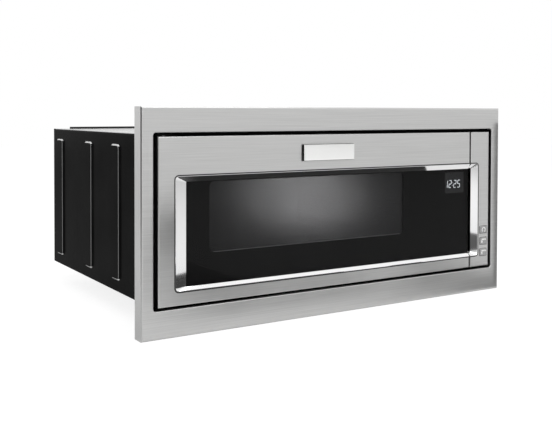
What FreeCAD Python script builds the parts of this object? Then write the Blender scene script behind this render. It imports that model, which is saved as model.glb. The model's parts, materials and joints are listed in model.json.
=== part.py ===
import FreeCAD, Part
import math
import operator
import os
import types

import Sketcher

# A built-in microwave: a stainless trim frame, a left-hinged glass door beside a fixed control column, and a
# black case that holds the oven cavity and its works. Millimetres, X to the right, Y into the cabinet, Z up.
# The origin is the centre of the four cabinet screw holes, on the cabinet's face.

SIZES = {
    # front of the unit, about the height of the cabinet screw pattern
    "unit_width": 702.4,
    "unit_top": 132.0,
    "unit_bottom": 129.5,
    "unit_proud": 0.5,
    "column_width": 48.2,
    "split_gap": 3.0,
    "skin_sheet": 1.0,
    "skin_return": 16.0,
    "skin_bend": 2.0,
    # trim frame
    "trim_depth": 25.0,
    "trim_side": 20.1,
    "trim_head": 40.1,
    "trim_sill": 43.9,
    "trim_sheet": 1.2,
    "trim_bend": 3.0,
    "side_gap": 7.2,
    "top_gap": 5.9,
    "bottom_gap": 4.6,
    "opening_corner": 4.5,
    "opening_return": 9.0,
    "opening_bend": 1.5,
    "clip_width": 30.0,
    "clip_height": 110.0,
    "clip_foot": 11.0,
    "clip_sheet": 1.2,
    "clip_edge": 4.5,
    # chassis front plate and its cabinet screws
    "plate_sheet": 1.5,
    "flange_side": 9.3,
    "flange_level": 27.8,
    "cabinet_hole": 2.75,
    "cabinet_hole_inset": 6.5,
    "cabinet_hole_spread": 600.0,
    # bezel, glass and window
    "stile_width": 29.0,
    "head_rail": 61.2,
    "sill_rail": 21.8,
    "bezel_side": 20.2,
    "bezel_head": 9.3,
    "bezel_sill": 5.7,
    "bezel_lip": 0.8,
    "bezel_corner": 5.0,
    "bezel_inner_corner": 1.0,
    "glass_recess": 4.5,
    "glass_thick": 4.0,
    "glass_lap": 4.0,
    "window_left": 40.0,
    "window_right": 20.0,
    "window_low": 39.5,
    "window_high": 34.0,
    "window_corner": 6.0,
    # badge plate and clock display
    "badge_width": 105.5,
    "badge_height": 27.7,
    "badge_thick": 5.0,
    "badge_edge": 0.8,
    "badge_centre": 292.0,
    "badge_rise": 16.9,
    "display_width": 56.0,
    "display_height": 48.0,
    "display_depth": 2.2,
    "display_edge": 5.0,
    "display_drop": 5.0,
    # door inside
    "carrier_plate": 3.0,
    "carrier_rim": 2.5,
    "choke_depth": 9.5,
    "choke_sheet": 1.0,
    "choke_side": 35.0,
    "choke_lap": 25.0,
    "choke_slot": 6.0,
    "choke_pitch": 24.0,
    "choke_slot_depth": 6.0,
    "cover_plate": 1.5,
    "pane_thick": 2.0,
    "pane_lap": 4.0,
    "screen_room": 0.5,
    # hinges
    "hinge_inset": 12.0,
    "hinge_setback": 9.0,
    "hinge_gap": 1.2,
    "hinge_plate": 2.0,
    "hinge_width": 26.0,
    "hinge_flange": 13.0,
    "hinge_nose": 6.0,
    "pin_radius": 3.0,
    "pin_reach": 11.0,
    "pin_play": 0.05,
    "bush_wall": 2.0,
    "bush_length": 10.0,
    "boss_wall": 2.5,
    "pin_hole_room": 1.6,
    # latch
    "latch_reach": 59.0,
    "latch_width": 66.5,
    "latch_wall": 1.5,
    "latch_room": 0.3,
    "hook_inset": 15.0,
    "hook_width": 9.0,
    "hook_arm": 7.0,
    "hook_barb": 5.0,
    "hook_tip": 7.0,
    "hook_depth": 20.0,
    "hook_lift": 5.0,
    "hook_room": 2.0,
    "bar_width": 16.0,
    "bar_thick": 3.7,
    "bar_length": 150.0,
    "lip_depth": 10.0,
    "lip_height": 8.0,
    "board_plate": 3.0,
    "board_width": 46.0,
    "board_length": 190.0,
    "switch_width": 10.0,
    "switch_height": 28.0,
    "switch_depth": 16.0,
    "spring_radius": 3.5,
    "spring_wire": 0.6,
    "spring_length": 26.0,
    "spring_post": 4.0,
    # control column
    "pocket_wall": 1.5,
    "pocket_floor": 6.5,
    "pocket_reach": 36.0,
    "pocket_run": 10.9,
    "pocket_bevel": 9.5,
    "pocket_room": 0.3,
    "key_width": 20.0,
    "key_height": 15.0,
    "key_pitch": 22.0,
    "key_low": 27.0,
    "key_inset": 14.2,
    "key_proud": 1.5,
    "key_travel": 1.0,
    "key_room": 0.3,
    "key_flange": 1.5,
    "key_flange_thick": 1.2,
    "key_edge": 2.0,
    "key_depth": 9.0,
    "key_board_thick": 1.6,
    "key_switch": 6.0,
    "key_switch_depth": 2.7,
    "column_wall": 2.0,
    # case
    "case_inset": 0.2,
    "case_rise": 2.7,
    "case_drop": 4.3,
    "case_depth": 488.0,
    "case_sheet": 1.0,
    "case_bend": 4.0,
    "rib_height": 3.5,
    "rib_width": 40.0,
    "rib_slope": 3.0,
    "rib_end": 19.5,
    "rib_corner": 8.0,
    "rib_setback": 43.0,
    "rib_pitch_rear": 164.0,
    "rib_pitch_front": 133.0,
    "tray_wall": 15.0,
    "rear_lip": 3.5,
    "rear_lip_side": 33.0,
    "vent_length": 36.0,
    "vent_width": 4.0,
    "vent_pitch": 9.0,
    "gland_radius": 9.0,
    "gland_bore": 4.0,
    "gland_flange": 3.0,
    "gland_depth": 9.0,
    "gland_inset": 40.0,
    "gland_rise": 30.0,
    # oven cavity
    "cavity_inset": 51.2,
    "cavity_width": 460.0,
    "cavity_rise": 37.5,
    "cavity_height": 186.0,
    "cavity_depth": 370.0,
    "cavity_sheet": 1.0,
    "cavity_corner": 3.0,
    "cavity_flange": 12.0,
    "mica_thick": 1.2,
    "mica_lap": 10.0,
    "port_width": 60.0,
    "port_height": 64.0,
    "port_front": 118.0,
    # waveguide and magnetron
    "guide_depth": 45.0,
    "guide_height": 90.0,
    "guide_length": 140.0,
    "guide_lead": 8.0,
    "guide_sheet": 1.0,
    "guide_centre": 94.0,
    "antenna_radius": 8.0,
    "antenna_length": 26.0,
    "antenna_setback": 38.0,
    "yoke_width": 84.0,
    "yoke_height": 78.0,
    "yoke_length": 58.0,
    "yoke_sheet": 2.0,
    "anode_radius": 19.0,
    "fin_count": 7.0,
    "fin_thick": 0.8,
    "fin_pitch": 6.0,
    "magnet_radius": 26.0,
    "filter_length": 30.0,
    "filter_width": 70.0,
    "filter_height": 56.0,
    # transformer, capacitor and diode
    "core_width": 96.0,
    "core_length": 62.0,
    "core_height": 76.0,
    "core_limb": 15.0,
    "core_leg": 30.0,
    "core_front": 62.0,
    "core_side": 120.0,
    "coil_bulge": 18.0,
    "coil_gap": 3.0,
    "can_width": 52.0,
    "can_depth": 32.0,
    "can_height": 84.0,
    "can_setback": 82.0,
    "can_inset": 70.0,
    "can_rim": 1.5,
    "tab_width": 6.0,
    "tab_height": 10.0,
    "clamp_band": 14.0,
    "clamp_sheet": 1.5,
    "clamp_rise": 30.0,
    "diode_radius": 4.0,
    "diode_length": 22.0,
    "diode_lug": 14.0,
    # boards
    "board_sheet": 1.6,
    "control_width": 86.0,
    "control_height": 50.0,
    "control_setback": 30.0,
    "control_inset": 6.0,
    "control_drop": 8.0,
    "standoff_radius": 3.0,
    "relay_width": 20.0,
    "relay_height": 28.0,
    "relay_depth": 16.0,
    "filter_board_width": 100.0,
    "filter_board_length": 70.0,
    "filter_board_front": 60.0,
    "filter_board_inset": 30.0,
    "filter_board_rise": 6.0,
    "choke_coil_radius": 11.0,
    "choke_coil_height": 16.0,
    # cooling fan
    "shroud_setback": 87.0,
    "shroud_sheet": 1.5,
    "duct_depth": 18.0,
    "duct_wall": 1.5,
    "fan_radius": 51.0,
    "fan_room": 6.0,
    "hub_radius": 13.0,
    "hub_length": 14.0,
    "blade_count": 5.0,
    "blade_thick": 1.4,
    "blade_root": 9.0,
    "blade_tip": 18.0,
    "blade_depth": 6.0,
    "fan_shaft": 2.5,
    "motor_width": 64.0,
    "motor_height": 52.0,
    "motor_length": 18.0,
    "motor_setback": 22.0,
    "motor_coil": 17.0,
    "motor_bearing": 7.0,
    "bearing_length": 6.0,
    "bracket_width": 12.0,
    # lamp, duct and cut-outs
    "lamp_front": 60.0,
    "lamp_drop": 34.0,
    "lamp_case": 34.0,
    "lamp_length": 44.0,
    "lamp_wall": 1.5,
    "bulb_radius": 10.0,
    "bulb_length": 26.0,
    "bulb_cap": 7.0,
    "lamp_hole": 2.5,
    "lamp_hole_pitch": 8.0,
    "duct_width": 140.0,
    "duct_length": 230.0,
    "duct_inset": 60.0,
    "duct_sheet": 1.5,
    "cutout_radius": 8.0,
    "cutout_height": 9.0,
    "cutout_front": 150.0,
    "cutout_spread": 60.0,
    # turntable
    "table_setback": 190.0,
    "table_radius": 150.0,
    "table_thick": 5.0,
    "table_rim": 11.0,
    "table_slope": 8.0,
    "drive_radius": 3.5,
    "drive_sink": 10.0,
    "motor_can_radius": 26.0,
    "motor_can_height": 19.0,
    "motor_ear": 8.0,
    "floor_hole": 7.0,
    "coupler_radius": 12.0,
    "coupler_lobe": 24.0,
    "coupler_lobe_width": 9.0,
    "coupler_lift": 0.6,
    "lug_height": 4.5,
    "lug_width": 6.0,
    "roller_radius": 8.0,
    "roller_width": 7.0,
    "roller_inset": 47.5,
    "roller_room": 0.2,
    "axle_radius": 2.0,
    "axle_play": 0.1,
    "axle_head": 1.2,
    "ring_width": 9.0,
    "ring_height": 6.0,
    "ring_gap": 3.0,
    # screws
    "screw_head": 4.0,
    "screw_head_height": 2.2,
}

doc = FreeCAD.newDocument("built_in_microwave")
sheet = doc.addObject("Spreadsheet::Sheet", "dims")
for row, (alias, amount) in enumerate(SIZES.items(), 1):
    sheet.set(f"A{row}", alias)
    sheet.set(f"B{row}", str(amount))
    sheet.setAlias(f"B{row}", alias)
doc.recompute()

Vector = FreeCAD.Vector
Rotation = FreeCAD.Rotation
TINY = 1e-6
OPERATIONS = {"+": operator.add, "-": operator.sub, "*": operator.mul, "/": operator.truediv}


class Size:
    """A length with its value in millimetres and the sheet expression that gives it."""

    def __init__(self, value, text):
        self.value = float(value)
        self.text = text

    def __float__(self):
        return self.value

    def __int__(self):
        return round(self.value)

    def __add__(self, other):
        return combine(self, "+", other)

    def __radd__(self, other):
        return combine(other, "+", self)

    def __sub__(self, other):
        return combine(self, "-", other)

    def __rsub__(self, other):
        return combine(other, "-", self)

    def __mul__(self, other):
        return combine(self, "*", other)

    def __rmul__(self, other):
        return combine(other, "*", self)

    def __truediv__(self, other):
        return combine(self, "/", other)

    def __neg__(self):
        return combine(0, "-", self)


def as_size(item):
    """The item as a size, also when it is a plain number."""
    return item if isinstance(item, Size) else Size(item, repr(float(item)))


def combine(left, sign, right):
    """Two sizes joined by one operation, in value and in expression."""
    left, right = as_size(left), as_size(right)
    return Size(OPERATIONS[sign](left.value, right.value), f"({left.text} {sign} {right.text})")


def bind(item, name, size):
    """Tie one property of an object to its sheet expression."""
    item.setExpression(name, as_size(size).text)


D = types.SimpleNamespace(**{alias: Size(sheet.get(alias), f"dims.{alias}") for alias in SIZES})

# levels along Y, from the front face to the rear of the door
FRONT = -D.trim_depth - D.unit_proud
TRIM_FRONT = -D.trim_depth
GLASS_FRONT = FRONT + D.glass_recess
GLASS_BACK = GLASS_FRONT + D.glass_thick
CARRIER_BACK = GLASS_BACK + D.carrier_plate
CHOKE_BACK = CARRIER_BACK + D.choke_depth
DOOR_BACK = CHOKE_BACK + D.cover_plate
PLATE_FRONT = -D.plate_sheet
CASE_BACK = D.case_depth - D.case_sheet
SHROUD_FRONT = CASE_BACK - D.shroud_setback

# unit front
UNIT_RIGHT = D.unit_width / 2
UNIT_LEFT = -UNIT_RIGHT
UNIT_HIGH = D.unit_top
UNIT_LOW = -D.unit_bottom
COLUMN_LEFT = UNIT_RIGHT - D.column_width
DOOR_RIGHT = COLUMN_LEFT - D.split_gap

# trim opening and outside
OPEN_X = UNIT_RIGHT + D.side_gap
OPEN_HIGH = UNIT_HIGH + D.top_gap
OPEN_LOW = UNIT_LOW - D.bottom_gap
TRIM_X = OPEN_X + D.trim_side
TRIM_HIGH = OPEN_HIGH + D.trim_head
TRIM_LOW = OPEN_LOW - D.trim_sill

# chassis flange behind the trim, and the cabinet screws in it
FLANGE_X = TRIM_X - D.trim_sheet - D.flange_side
FLANGE_HIGH = TRIM_HIGH - D.trim_sheet - D.flange_level
FLANGE_LOW = TRIM_LOW + D.trim_sheet + D.flange_level
HOLE_X = D.cabinet_hole_spread / 2
HOLE_HIGH = FLANGE_HIGH - D.cabinet_hole_inset
HOLE_LOW = FLANGE_LOW + D.cabinet_hole_inset

# bezel opening and the glass that shows in it
BEZEL_LEFT = UNIT_LEFT + D.stile_width
BEZEL_RIGHT = UNIT_RIGHT - D.stile_width
BEZEL_HIGH = UNIT_HIGH - D.head_rail
BEZEL_LOW = UNIT_LOW + D.sill_rail
SIGHT_LEFT = BEZEL_LEFT + D.bezel_side
SIGHT_HIGH = BEZEL_HIGH - D.bezel_head
SIGHT_LOW = BEZEL_LOW + D.bezel_sill

# oven cavity
CAVITY_LEFT = UNIT_LEFT + D.cavity_inset
CAVITY_RIGHT = CAVITY_LEFT + D.cavity_width
CAVITY_LOW = UNIT_LOW + D.cavity_rise
CAVITY_HIGH = CAVITY_LOW + D.cavity_height
WALL_RIGHT = CAVITY_RIGHT + D.cavity_sheet
UNDER_FLOOR = CAVITY_LOW - D.cavity_sheet
OVER_ROOF = CAVITY_HIGH + D.cavity_sheet

# door window, choke and latch housing
WINDOW_LEFT = CAVITY_LEFT + D.window_left
WINDOW_RIGHT = CAVITY_RIGHT - D.window_right
WINDOW_LOW = CAVITY_LOW + D.window_low
WINDOW_HIGH = CAVITY_HIGH - D.window_high
CHOKE_LEFT = CAVITY_LEFT - D.choke_side
CHOKE_RIGHT = CAVITY_RIGHT + D.choke_side
CHOKE_LOW = CAVITY_LOW - D.choke_lap
CHOKE_HIGH = CAVITY_HIGH + D.choke_lap
LATCH_X = CAVITY_RIGHT + D.latch_reach
HOUSING_LEFT = CHOKE_RIGHT + D.screen_room
HOUSING_RIGHT = HOUSING_LEFT + D.latch_width

# hinge axis
HINGE_X = UNIT_LEFT + D.hinge_inset
HINGE_Y = FRONT + D.hinge_setback

# case
CASE_X = UNIT_RIGHT - D.case_inset
CASE_HIGH = UNIT_HIGH + D.case_rise
CASE_LOW = UNIT_LOW - D.case_drop
INNER_X = CASE_X - D.case_sheet
INNER_HIGH = CASE_HIGH - D.case_sheet
TRAY_TOP = CASE_LOW + D.case_sheet

# turntable
TABLE_X = (CAVITY_LEFT + CAVITY_RIGHT) / 2
TABLE_Y = D.table_setback
ROLLER_Z = CAVITY_LOW + D.roller_room + D.roller_radius
TABLE_LOW = ROLLER_Z + D.roller_radius + D.roller_room


# sketch loops


def hold(sketch, curve, end, u, v):
    """Hold one end of a sketch curve at two sheet expressions."""
    for kind, axis, size in (("DistanceX", -2, as_size(u)), ("DistanceY", -1, as_size(v))):
        if abs(size.value) < TINY:
            sketch.addConstraint(Sketcher.Constraint("PointOnObject", curve, end, axis))
            continue
        index = sketch.addConstraint(Sketcher.Constraint(kind, -1, 1, curve, end, size.value))
        sketch.setExpression(f"Constraints[{index}]", size.text)


def planar(point):
    """A sketch point as a vector."""
    return Vector(float(point[0]), float(point[1]), 0)


def step(start, goal, distance):
    """The point at a distance from start on the straight side towards goal, level or upright."""
    across = float(goal[0]) - float(start[0])
    up = float(goal[1]) - float(start[1])
    if abs(across) > abs(up):
        return (start[0] + distance if across > 0 else start[0] - distance, start[1])
    return (start[0], start[1] + distance if up > 0 else start[1] - distance)


def sharp_loop(sketch, corners):
    """A closed loop of straight sides through the corners."""
    first = sketch.GeometryCount
    count = len(corners)
    for i, corner in enumerate(corners):
        sketch.addGeometry(Part.LineSegment(planar(corner), planar(corners[(i + 1) % count])), False)
    for i, corner in enumerate(corners):
        sketch.addConstraint(Sketcher.Constraint("Coincident", first + i, 2, first + (i + 1) % count, 1))
        hold(sketch, first + i, 1, *corner)


def round_loop(sketch, corners, radius):
    """A closed loop of level and upright sides, with an arc at each corner."""
    first = sketch.GeometryCount
    count = len(corners)
    for i, corner in enumerate(corners):
        goal = corners[(i + 1) % count]
        ends = (step(corner, goal, radius), step(goal, corner, radius))
        sketch.addGeometry(Part.LineSegment(planar(ends[0]), planar(ends[1])), False)
        hold(sketch, first + i, 1, *ends[0])
        hold(sketch, first + i, 2, *ends[1])
    for i in range(count):
        corner = corners[(i + 1) % count]
        start = planar(step(corner, corners[i], radius))
        end = planar(step(corner, corners[(i + 2) % count], radius))
        centre = start + end - planar(corner)
        middle = centre + (planar(corner) - centre).normalize() * float(radius)
        arc = sketch.addGeometry(Part.Arc(start, middle, end), False)
        away = [sketch.getPoint(arc, which).distanceToPoint(start) for which in (1, 2)]
        near, far = (1, 2) if away[0] < away[1] else (2, 1)
        sketch.addConstraint(Sketcher.Constraint("Coincident", first + i, 2, arc, near))
        sketch.addConstraint(Sketcher.Constraint("Coincident", first + (i + 1) % count, 1, arc, far))
        index = sketch.addConstraint(Sketcher.Constraint("Radius", arc, float(radius)))
        sketch.setExpression(f"Constraints[{index}]", as_size(radius).text)


def rect(left, right, low, high, radius=None):
    """A rectangle, with rounded corners where a radius is given."""
    corners = [(left, low), (right, low), (right, high), (left, high)]
    if radius is None:
        return lambda sketch: sharp_loop(sketch, corners)
    return lambda sketch: round_loop(sketch, corners, radius)


def polygon(*corners):
    """A closed outline of straight sides."""
    return lambda sketch: sharp_loop(sketch, corners)


def disc(u, v, radius):
    """A circle."""

    def draw(sketch):
        circle = sketch.addGeometry(Part.Circle(planar((u, v)), Vector(0, 0, 1), float(radius)), False)
        hold(sketch, circle, 3, u, v)
        index = sketch.addConstraint(Sketcher.Constraint("Radius", circle, float(radius)))
        sketch.setExpression(f"Constraints[{index}]", as_size(radius).text)

    return draw


# bodies and their features


def flat(shape, axis, level):
    """Whether a face or an edge lies in the plane at a level along an axis."""
    box = shape.BoundBox
    low, high = getattr(box, axis + "Min"), getattr(box, axis + "Max")
    return abs(low - float(level)) < 1e-4 and abs(high - float(level)) < 1e-4


def runs(edge, axis):
    """Whether an edge is a straight line along an axis."""
    box = edge.BoundBox
    others = [name for name in "XYZ" if name != axis]
    return all(getattr(box, name + "Length") < 1e-4 for name in others)


PIECES = {}


class Piece:
    """A body whose sketches and features are bound to the sheet, written out under its label unless told."""

    def __init__(self, label, written=True):
        self.body = doc.addObject("PartDesign::Body", label)
        self.body.Label = label
        self.planes = {item.Role: item for item in self.body.Origin.OriginFeatures}
        self.volume = 0.0
        if written:
            PIECES[label] = self.body

    def sketch(self, plane, level, loops, at=(0, 0)):
        """A sketch on an origin plane, moved to a level along its axis and to its own zero point."""
        item = self.body.newObject("Sketcher::SketchObject", self.body.Name + "_sketch")
        item.AttachmentSupport = (self.planes[plane + "_Plane"], [""])
        item.MapMode = "FlatFace"
        for axis, size in zip("xyz", (*at, -level if plane == "XZ" else level)):
            bind(item, f"AttachmentOffset.Base.{axis}", size)
        for draw in loops:
            draw(item)
        return item

    def close(self, feature, sign):
        """Finish a feature and see that it added or took material."""
        self.body.Tip = feature
        doc.recompute()
        change = feature.Shape.Volume - self.volume
        if change * sign <= 0:
            raise ValueError(f"{feature.Name} changes no material")
        self.volume += change
        return feature

    def pad(self, plane, low, high, *loops, at=(0, 0)):
        """Material between two levels along the plane's axis."""
        feature = self.body.newObject("PartDesign::Pad", self.body.Name + "_pad")
        feature.Profile = self.sketch(plane, low, loops, at)
        feature.Reversed = plane == "XZ"
        bind(feature, "Length", high - low)
        return self.close(feature, 1)

    def pocket(self, plane, low, high, *loops, at=(0, 0)):
        """A cut between two levels along the plane's axis."""
        feature = self.body.newObject("PartDesign::Pocket", self.body.Name + "_pocket")
        feature.Profile = self.sketch(plane, low, loops, at)
        feature.Reversed = plane != "XZ"
        bind(feature, "Length", high - low)
        return self.close(feature, -1)

    def loft(self, kind, plane, *sections):
        """Material or a cut between sections, each a level and a loop."""
        sketches = [self.sketch(plane, level, [loop]) for level, loop in sections]
        feature = self.body.newObject(f"PartDesign::{kind}Loft", self.body.Name + "_loft")
        feature.Profile = sketches[0]
        feature.Sections = sketches[1:]
        feature.Ruled = True
        return self.close(feature, 1 if kind == "Additive" else -1)

    def revolve(self, plane, level, at, loop, axis="V_Axis"):
        """Material turned about an axis of its sketch."""
        sketch = self.sketch(plane, level, [loop], at)
        feature = self.body.newObject("PartDesign::Revolution", self.body.Name + "_turn")
        feature.Profile = sketch
        feature.ReferenceAxis = (sketch, [axis])
        return self.close(feature, 1)

    def polar(self, original, count):
        """Copies of a feature about the normal of its body's first sketch."""
        axis = next(item for item in self.body.Group if item.isDerivedFrom("Sketcher::SketchObject"))
        feature = self.body.newObject("PartDesign::PolarPattern", self.body.Name + "_ring")
        feature.Originals = [original]
        feature.Axis = (axis, ["N_Axis"])
        feature.Angle = 360
        bind(feature, "Occurrences", count)
        return self.close(feature, 1)

    def row(self, original, axis, pitch, count):
        """Copies of a cut in a straight row along an axis."""
        feature = self.body.newObject("PartDesign::LinearPattern", self.body.Name + "_row")
        feature.Originals = [original]
        feature.Direction = (self.planes[axis + "_Axis"], [""])
        bind(feature, "Length", pitch * (count - 1))
        feature.Occurrences = count
        return self.close(feature, -1)

    def edges(self, kind, name, size, pick):
        """A fillet or chamfer on the picked edges."""
        base = self.body.Tip
        names = [f"Edge{i}" for i, edge in enumerate(base.Shape.Edges, 1) if pick(edge)]
        feature = self.body.newObject("PartDesign::" + kind, self.body.Name + "_" + kind.lower())
        feature.Base = (base, names)
        bind(feature, name, size)
        doc.recompute()
        self.volume = feature.Shape.Volume
        return feature

    def fillet(self, radius, pick):
        return self.edges("Fillet", "Radius", radius, pick)

    def chamfer(self, size, pick):
        return self.edges("Chamfer", "Size", size, pick)

    def shell(self, wall, pick):
        """A shell with its wall inside the outline, open at the picked faces."""
        base = self.body.Tip
        names = [f"Face{i}" for i, face in enumerate(base.Shape.Faces, 1) if pick(face)]
        feature = self.body.newObject("PartDesign::Thickness", self.body.Name + "_shell")
        feature.Base = (base, names)
        feature.Reversed = True
        bind(feature, "Value", wall)
        return self.close(feature, -1)


# primitives and booleans

TURNS = {
    "x": Rotation(Vector(0, 1, 0), 90),
    "y": Rotation(Vector(1, 0, 0), -90),
    "z": Rotation(),
}


def block(x, y, z):
    """A box between low and high sizes along each axis."""
    item = doc.addObject("Part::Box", "block")
    for name, axis, (low, high) in zip(("Length", "Width", "Height"), "xyz", (x, y, z)):
        bind(item, name, high - low)
        bind(item, f"Placement.Base.{axis}", low)
    return item


def rod(axis, radius, low, high, first, second):
    """A cylinder along an axis, at its two other coordinates in order."""
    item = doc.addObject("Part::Cylinder", "rod")
    bind(item, "Radius", radius)
    bind(item, "Height", high - low)
    item.Placement = FreeCAD.Placement(Vector(), TURNS[axis])
    others = [name for name in "xyz" if name != axis]
    for name, size in zip((axis, *others), (low, first, second)):
        bind(item, f"Placement.Base.{name}", size)
    return item


def joined(items):
    """Items fused into one shape, or the one item as it is."""
    if len(items) == 1:
        return items[0]
    item = doc.addObject("Part::MultiFuse", "joined")
    item.Shapes = list(items)
    item.Refine = True
    return item


def cut(base, *tools):
    """A base less its tools."""
    item = doc.addObject("Part::Cut", "cut")
    item.Base = base
    item.Tool = joined(tools)
    return item


def group(items):
    """Separate solids that share one node."""
    item = doc.addObject("Part::Compound", "group")
    item.Links = list(items)
    return item


def name_piece(label, item):
    """Name an object as one sub-part."""
    item.Label = label
    PIECES[label] = item


# trim and chassis front


def make_trim():
    """Folded stainless frame that covers the gap to the cabinet, in four sides that meet at the corners."""
    frame = Piece("trim_sheet", written=False)
    frame.pad("XZ", TRIM_FRONT, as_size(0), rect(-TRIM_X, TRIM_X, TRIM_LOW, TRIM_HIGH))
    frame.fillet(D.trim_bend, lambda edge: flat(edge, "Y", TRIM_FRONT))
    frame.shell(D.trim_sheet, lambda face: flat(face, "Y", 0))
    opening = rect(-OPEN_X, OPEN_X, OPEN_LOW, OPEN_HIGH, D.opening_corner)
    frame.pocket("XZ", TRIM_FRONT, TRIM_FRONT + D.trim_sheet, opening)
    lip = D.trim_sheet
    outside = rect(-OPEN_X - lip, OPEN_X + lip, OPEN_LOW - lip, OPEN_HIGH + lip, D.opening_corner + lip)
    frame.pad("XZ", TRIM_FRONT, TRIM_FRONT + D.opening_return, outside, opening)
    frame.fillet(
        D.opening_bend,
        lambda edge: flat(edge, "Y", TRIM_FRONT)
        and edge.BoundBox.XMin > -float(OPEN_X) - TINY
        and edge.BoundBox.XMax < float(OPEN_X) + TINY
        and edge.BoundBox.ZMin > float(OPEN_LOW) - TINY
        and edge.BoundBox.ZMax < float(OPEN_HIGH) + TINY,
    )
    across, depth = (-TRIM_X, TRIM_X), (TRIM_FRONT, as_size(0))
    low, high = OPEN_LOW + D.opening_corner, OPEN_HIGH - D.opening_corner
    above = block(across, depth, (high, TRIM_HIGH))
    below = block(across, depth, (TRIM_LOW, low))
    name_piece(
        "trim_frame",
        group([
            cut(frame.body, block(across, depth, (TRIM_LOW, high))),
            cut(frame.body, block(across, depth, (low, TRIM_HIGH))),
            cut(frame.body, above, below, block((as_size(0), TRIM_X), depth, (TRIM_LOW, TRIM_HIGH))),
            cut(frame.body, above, below, block((-TRIM_X, as_size(0)), depth, (TRIM_LOW, TRIM_HIGH))),
        ]),
    )


def make_trim_clips():
    """Four bent clips that hold the trim on the chassis flange."""
    inside = TRIM_FRONT + D.trim_sheet
    clips = []
    for side in (-1, 1):
        for height in (-1, 1):
            web = side * (FLANGE_X - D.clip_edge)
            foot = side * (FLANGE_X - D.clip_edge - D.clip_foot)
            middle = height * D.clip_height / 2
            z = (middle - D.clip_width / 2, middle + D.clip_width / 2)
            span = (web, web + D.clip_sheet) if side > 0 else (web - D.clip_sheet, web)
            head = side * (OPEN_X + D.trim_sheet)
            parts = [
                block(span, (inside, PLATE_FRONT), z),
                block(sorted((head, web), key=float), (inside, inside + D.clip_sheet), z),
                block(sorted((foot, web), key=float), (PLATE_FRONT - D.clip_sheet, PLATE_FRONT), z),
            ]
            clips.append(joined(parts))
    name_piece("trim_clips", group(clips))


def rail(label, x, z, *holes):
    """One flat rail of the chassis front, with its holes."""
    bar = Piece(label, written=False)
    bar.pad("XZ", PLATE_FRONT, as_size(0), rect(*x, *z))
    if holes:
        bar.pocket("XZ", PLATE_FRONT, as_size(0), *holes)
    return bar.body


def make_front_plate():
    """Chassis front of welded rails for the cavity, hinges and latch, with the cabinet screw flange."""
    left, right = POCKET_LEFT - D.pocket_room, BEZEL_RIGHT + D.pocket_room
    sill, head = BEZEL_LOW - D.pocket_room, BEZEL_HIGH + D.pocket_room
    oven = (CAVITY_LOW, CAVITY_HIGH)
    name_piece(
        "front_plate",
        group([
            rail("head_rail", (-FLANGE_X, FLANGE_X), (CAVITY_HIGH, FLANGE_HIGH),
                 *[disc(side * HOLE_X, HOLE_HIGH, D.cabinet_hole) for side in (-1, 1)]),
            rail("sill_rail", (-FLANGE_X, left), (FLANGE_LOW, CAVITY_LOW),
                 disc(-HOLE_X, HOLE_LOW, D.cabinet_hole)),
            rail("sill_end", (left, FLANGE_X), (FLANGE_LOW, sill), disc(HOLE_X, HOLE_LOW, D.cabinet_hole)),
            rail("hinge_stile", (-FLANGE_X, CAVITY_LEFT), oven),
            rail("latch_stile", (CAVITY_RIGHT, left), oven, *[latch_slot(side) for side in (-1, 1)]),
            rail("column_stile", (right, FLANGE_X), (sill, CAVITY_HIGH)),
            rail("pocket_head", (left, right), (head, CAVITY_HIGH)),
        ]),
    )


# door


def make_door_frame():
    """Folded stainless door skin, open at the right where the glass runs to the door's edge."""
    frame = Piece("door_frame")
    frame.pad("XZ", FRONT, FRONT + D.skin_return, rect(UNIT_LEFT, DOOR_RIGHT, UNIT_LOW, UNIT_HIGH))
    frame.fillet(D.skin_bend, lambda edge: flat(edge, "Y", FRONT))
    frame.shell(D.skin_sheet, lambda face: flat(face, "Y", FRONT + D.skin_return))
    corner = D.bezel_corner + D.bezel_lip
    frame.pocket(
        "XZ", FRONT, FRONT + D.skin_return,
        rect(BEZEL_LEFT, DOOR_RIGHT + D.stile_width, BEZEL_LOW, BEZEL_HIGH, corner),
    )
    hole = D.pin_radius + D.pin_hole_room
    frame.pocket("XY", UNIT_LOW, UNIT_HIGH, disc(HINGE_X, HINGE_Y, hole))


def make_door_bezel():
    """Sloped chrome frame round the glass, mitred at its corners and open at the right."""
    bezel = Piece("door_bezel")
    corner = D.bezel_corner + D.bezel_lip
    past = DOOR_RIGHT + D.stile_width
    bezel.pad("XZ", FRONT, GLASS_FRONT, rect(BEZEL_LEFT, past, BEZEL_LOW, BEZEL_HIGH, corner))
    lip = D.bezel_lip
    mouth = rect(BEZEL_LEFT + lip, past - lip, BEZEL_LOW + lip, BEZEL_HIGH - lip, D.bezel_corner)
    sight = rect(SIGHT_LEFT, past - lip, SIGHT_LOW, SIGHT_HIGH, D.bezel_inner_corner)
    bezel.loft("Subtractive", "XZ", (FRONT, mouth), (GLASS_FRONT, sight))
    bezel.pocket("XZ", FRONT, GLASS_FRONT, rect(DOOR_RIGHT, past, BEZEL_LOW, BEZEL_HIGH))


def make_door_glass():
    """Tinted front glass, clamped between the bezel and the carrier."""
    name_piece(
        "door_glass",
        block(
            (SIGHT_LEFT - D.glass_lap, DOOR_RIGHT),
            (GLASS_FRONT, GLASS_BACK),
            (SIGHT_LOW - D.glass_lap, SIGHT_HIGH + D.glass_lap),
        ),
    )


def bush_ends(side):
    """Inner and outer height of the bush at the top or the bottom of the door."""
    edge = UNIT_HIGH - D.skin_sheet if side > 0 else UNIT_LOW + D.skin_sheet
    inner = edge - side * D.bush_length
    return (inner, edge) if side > 0 else (edge, inner)


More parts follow.
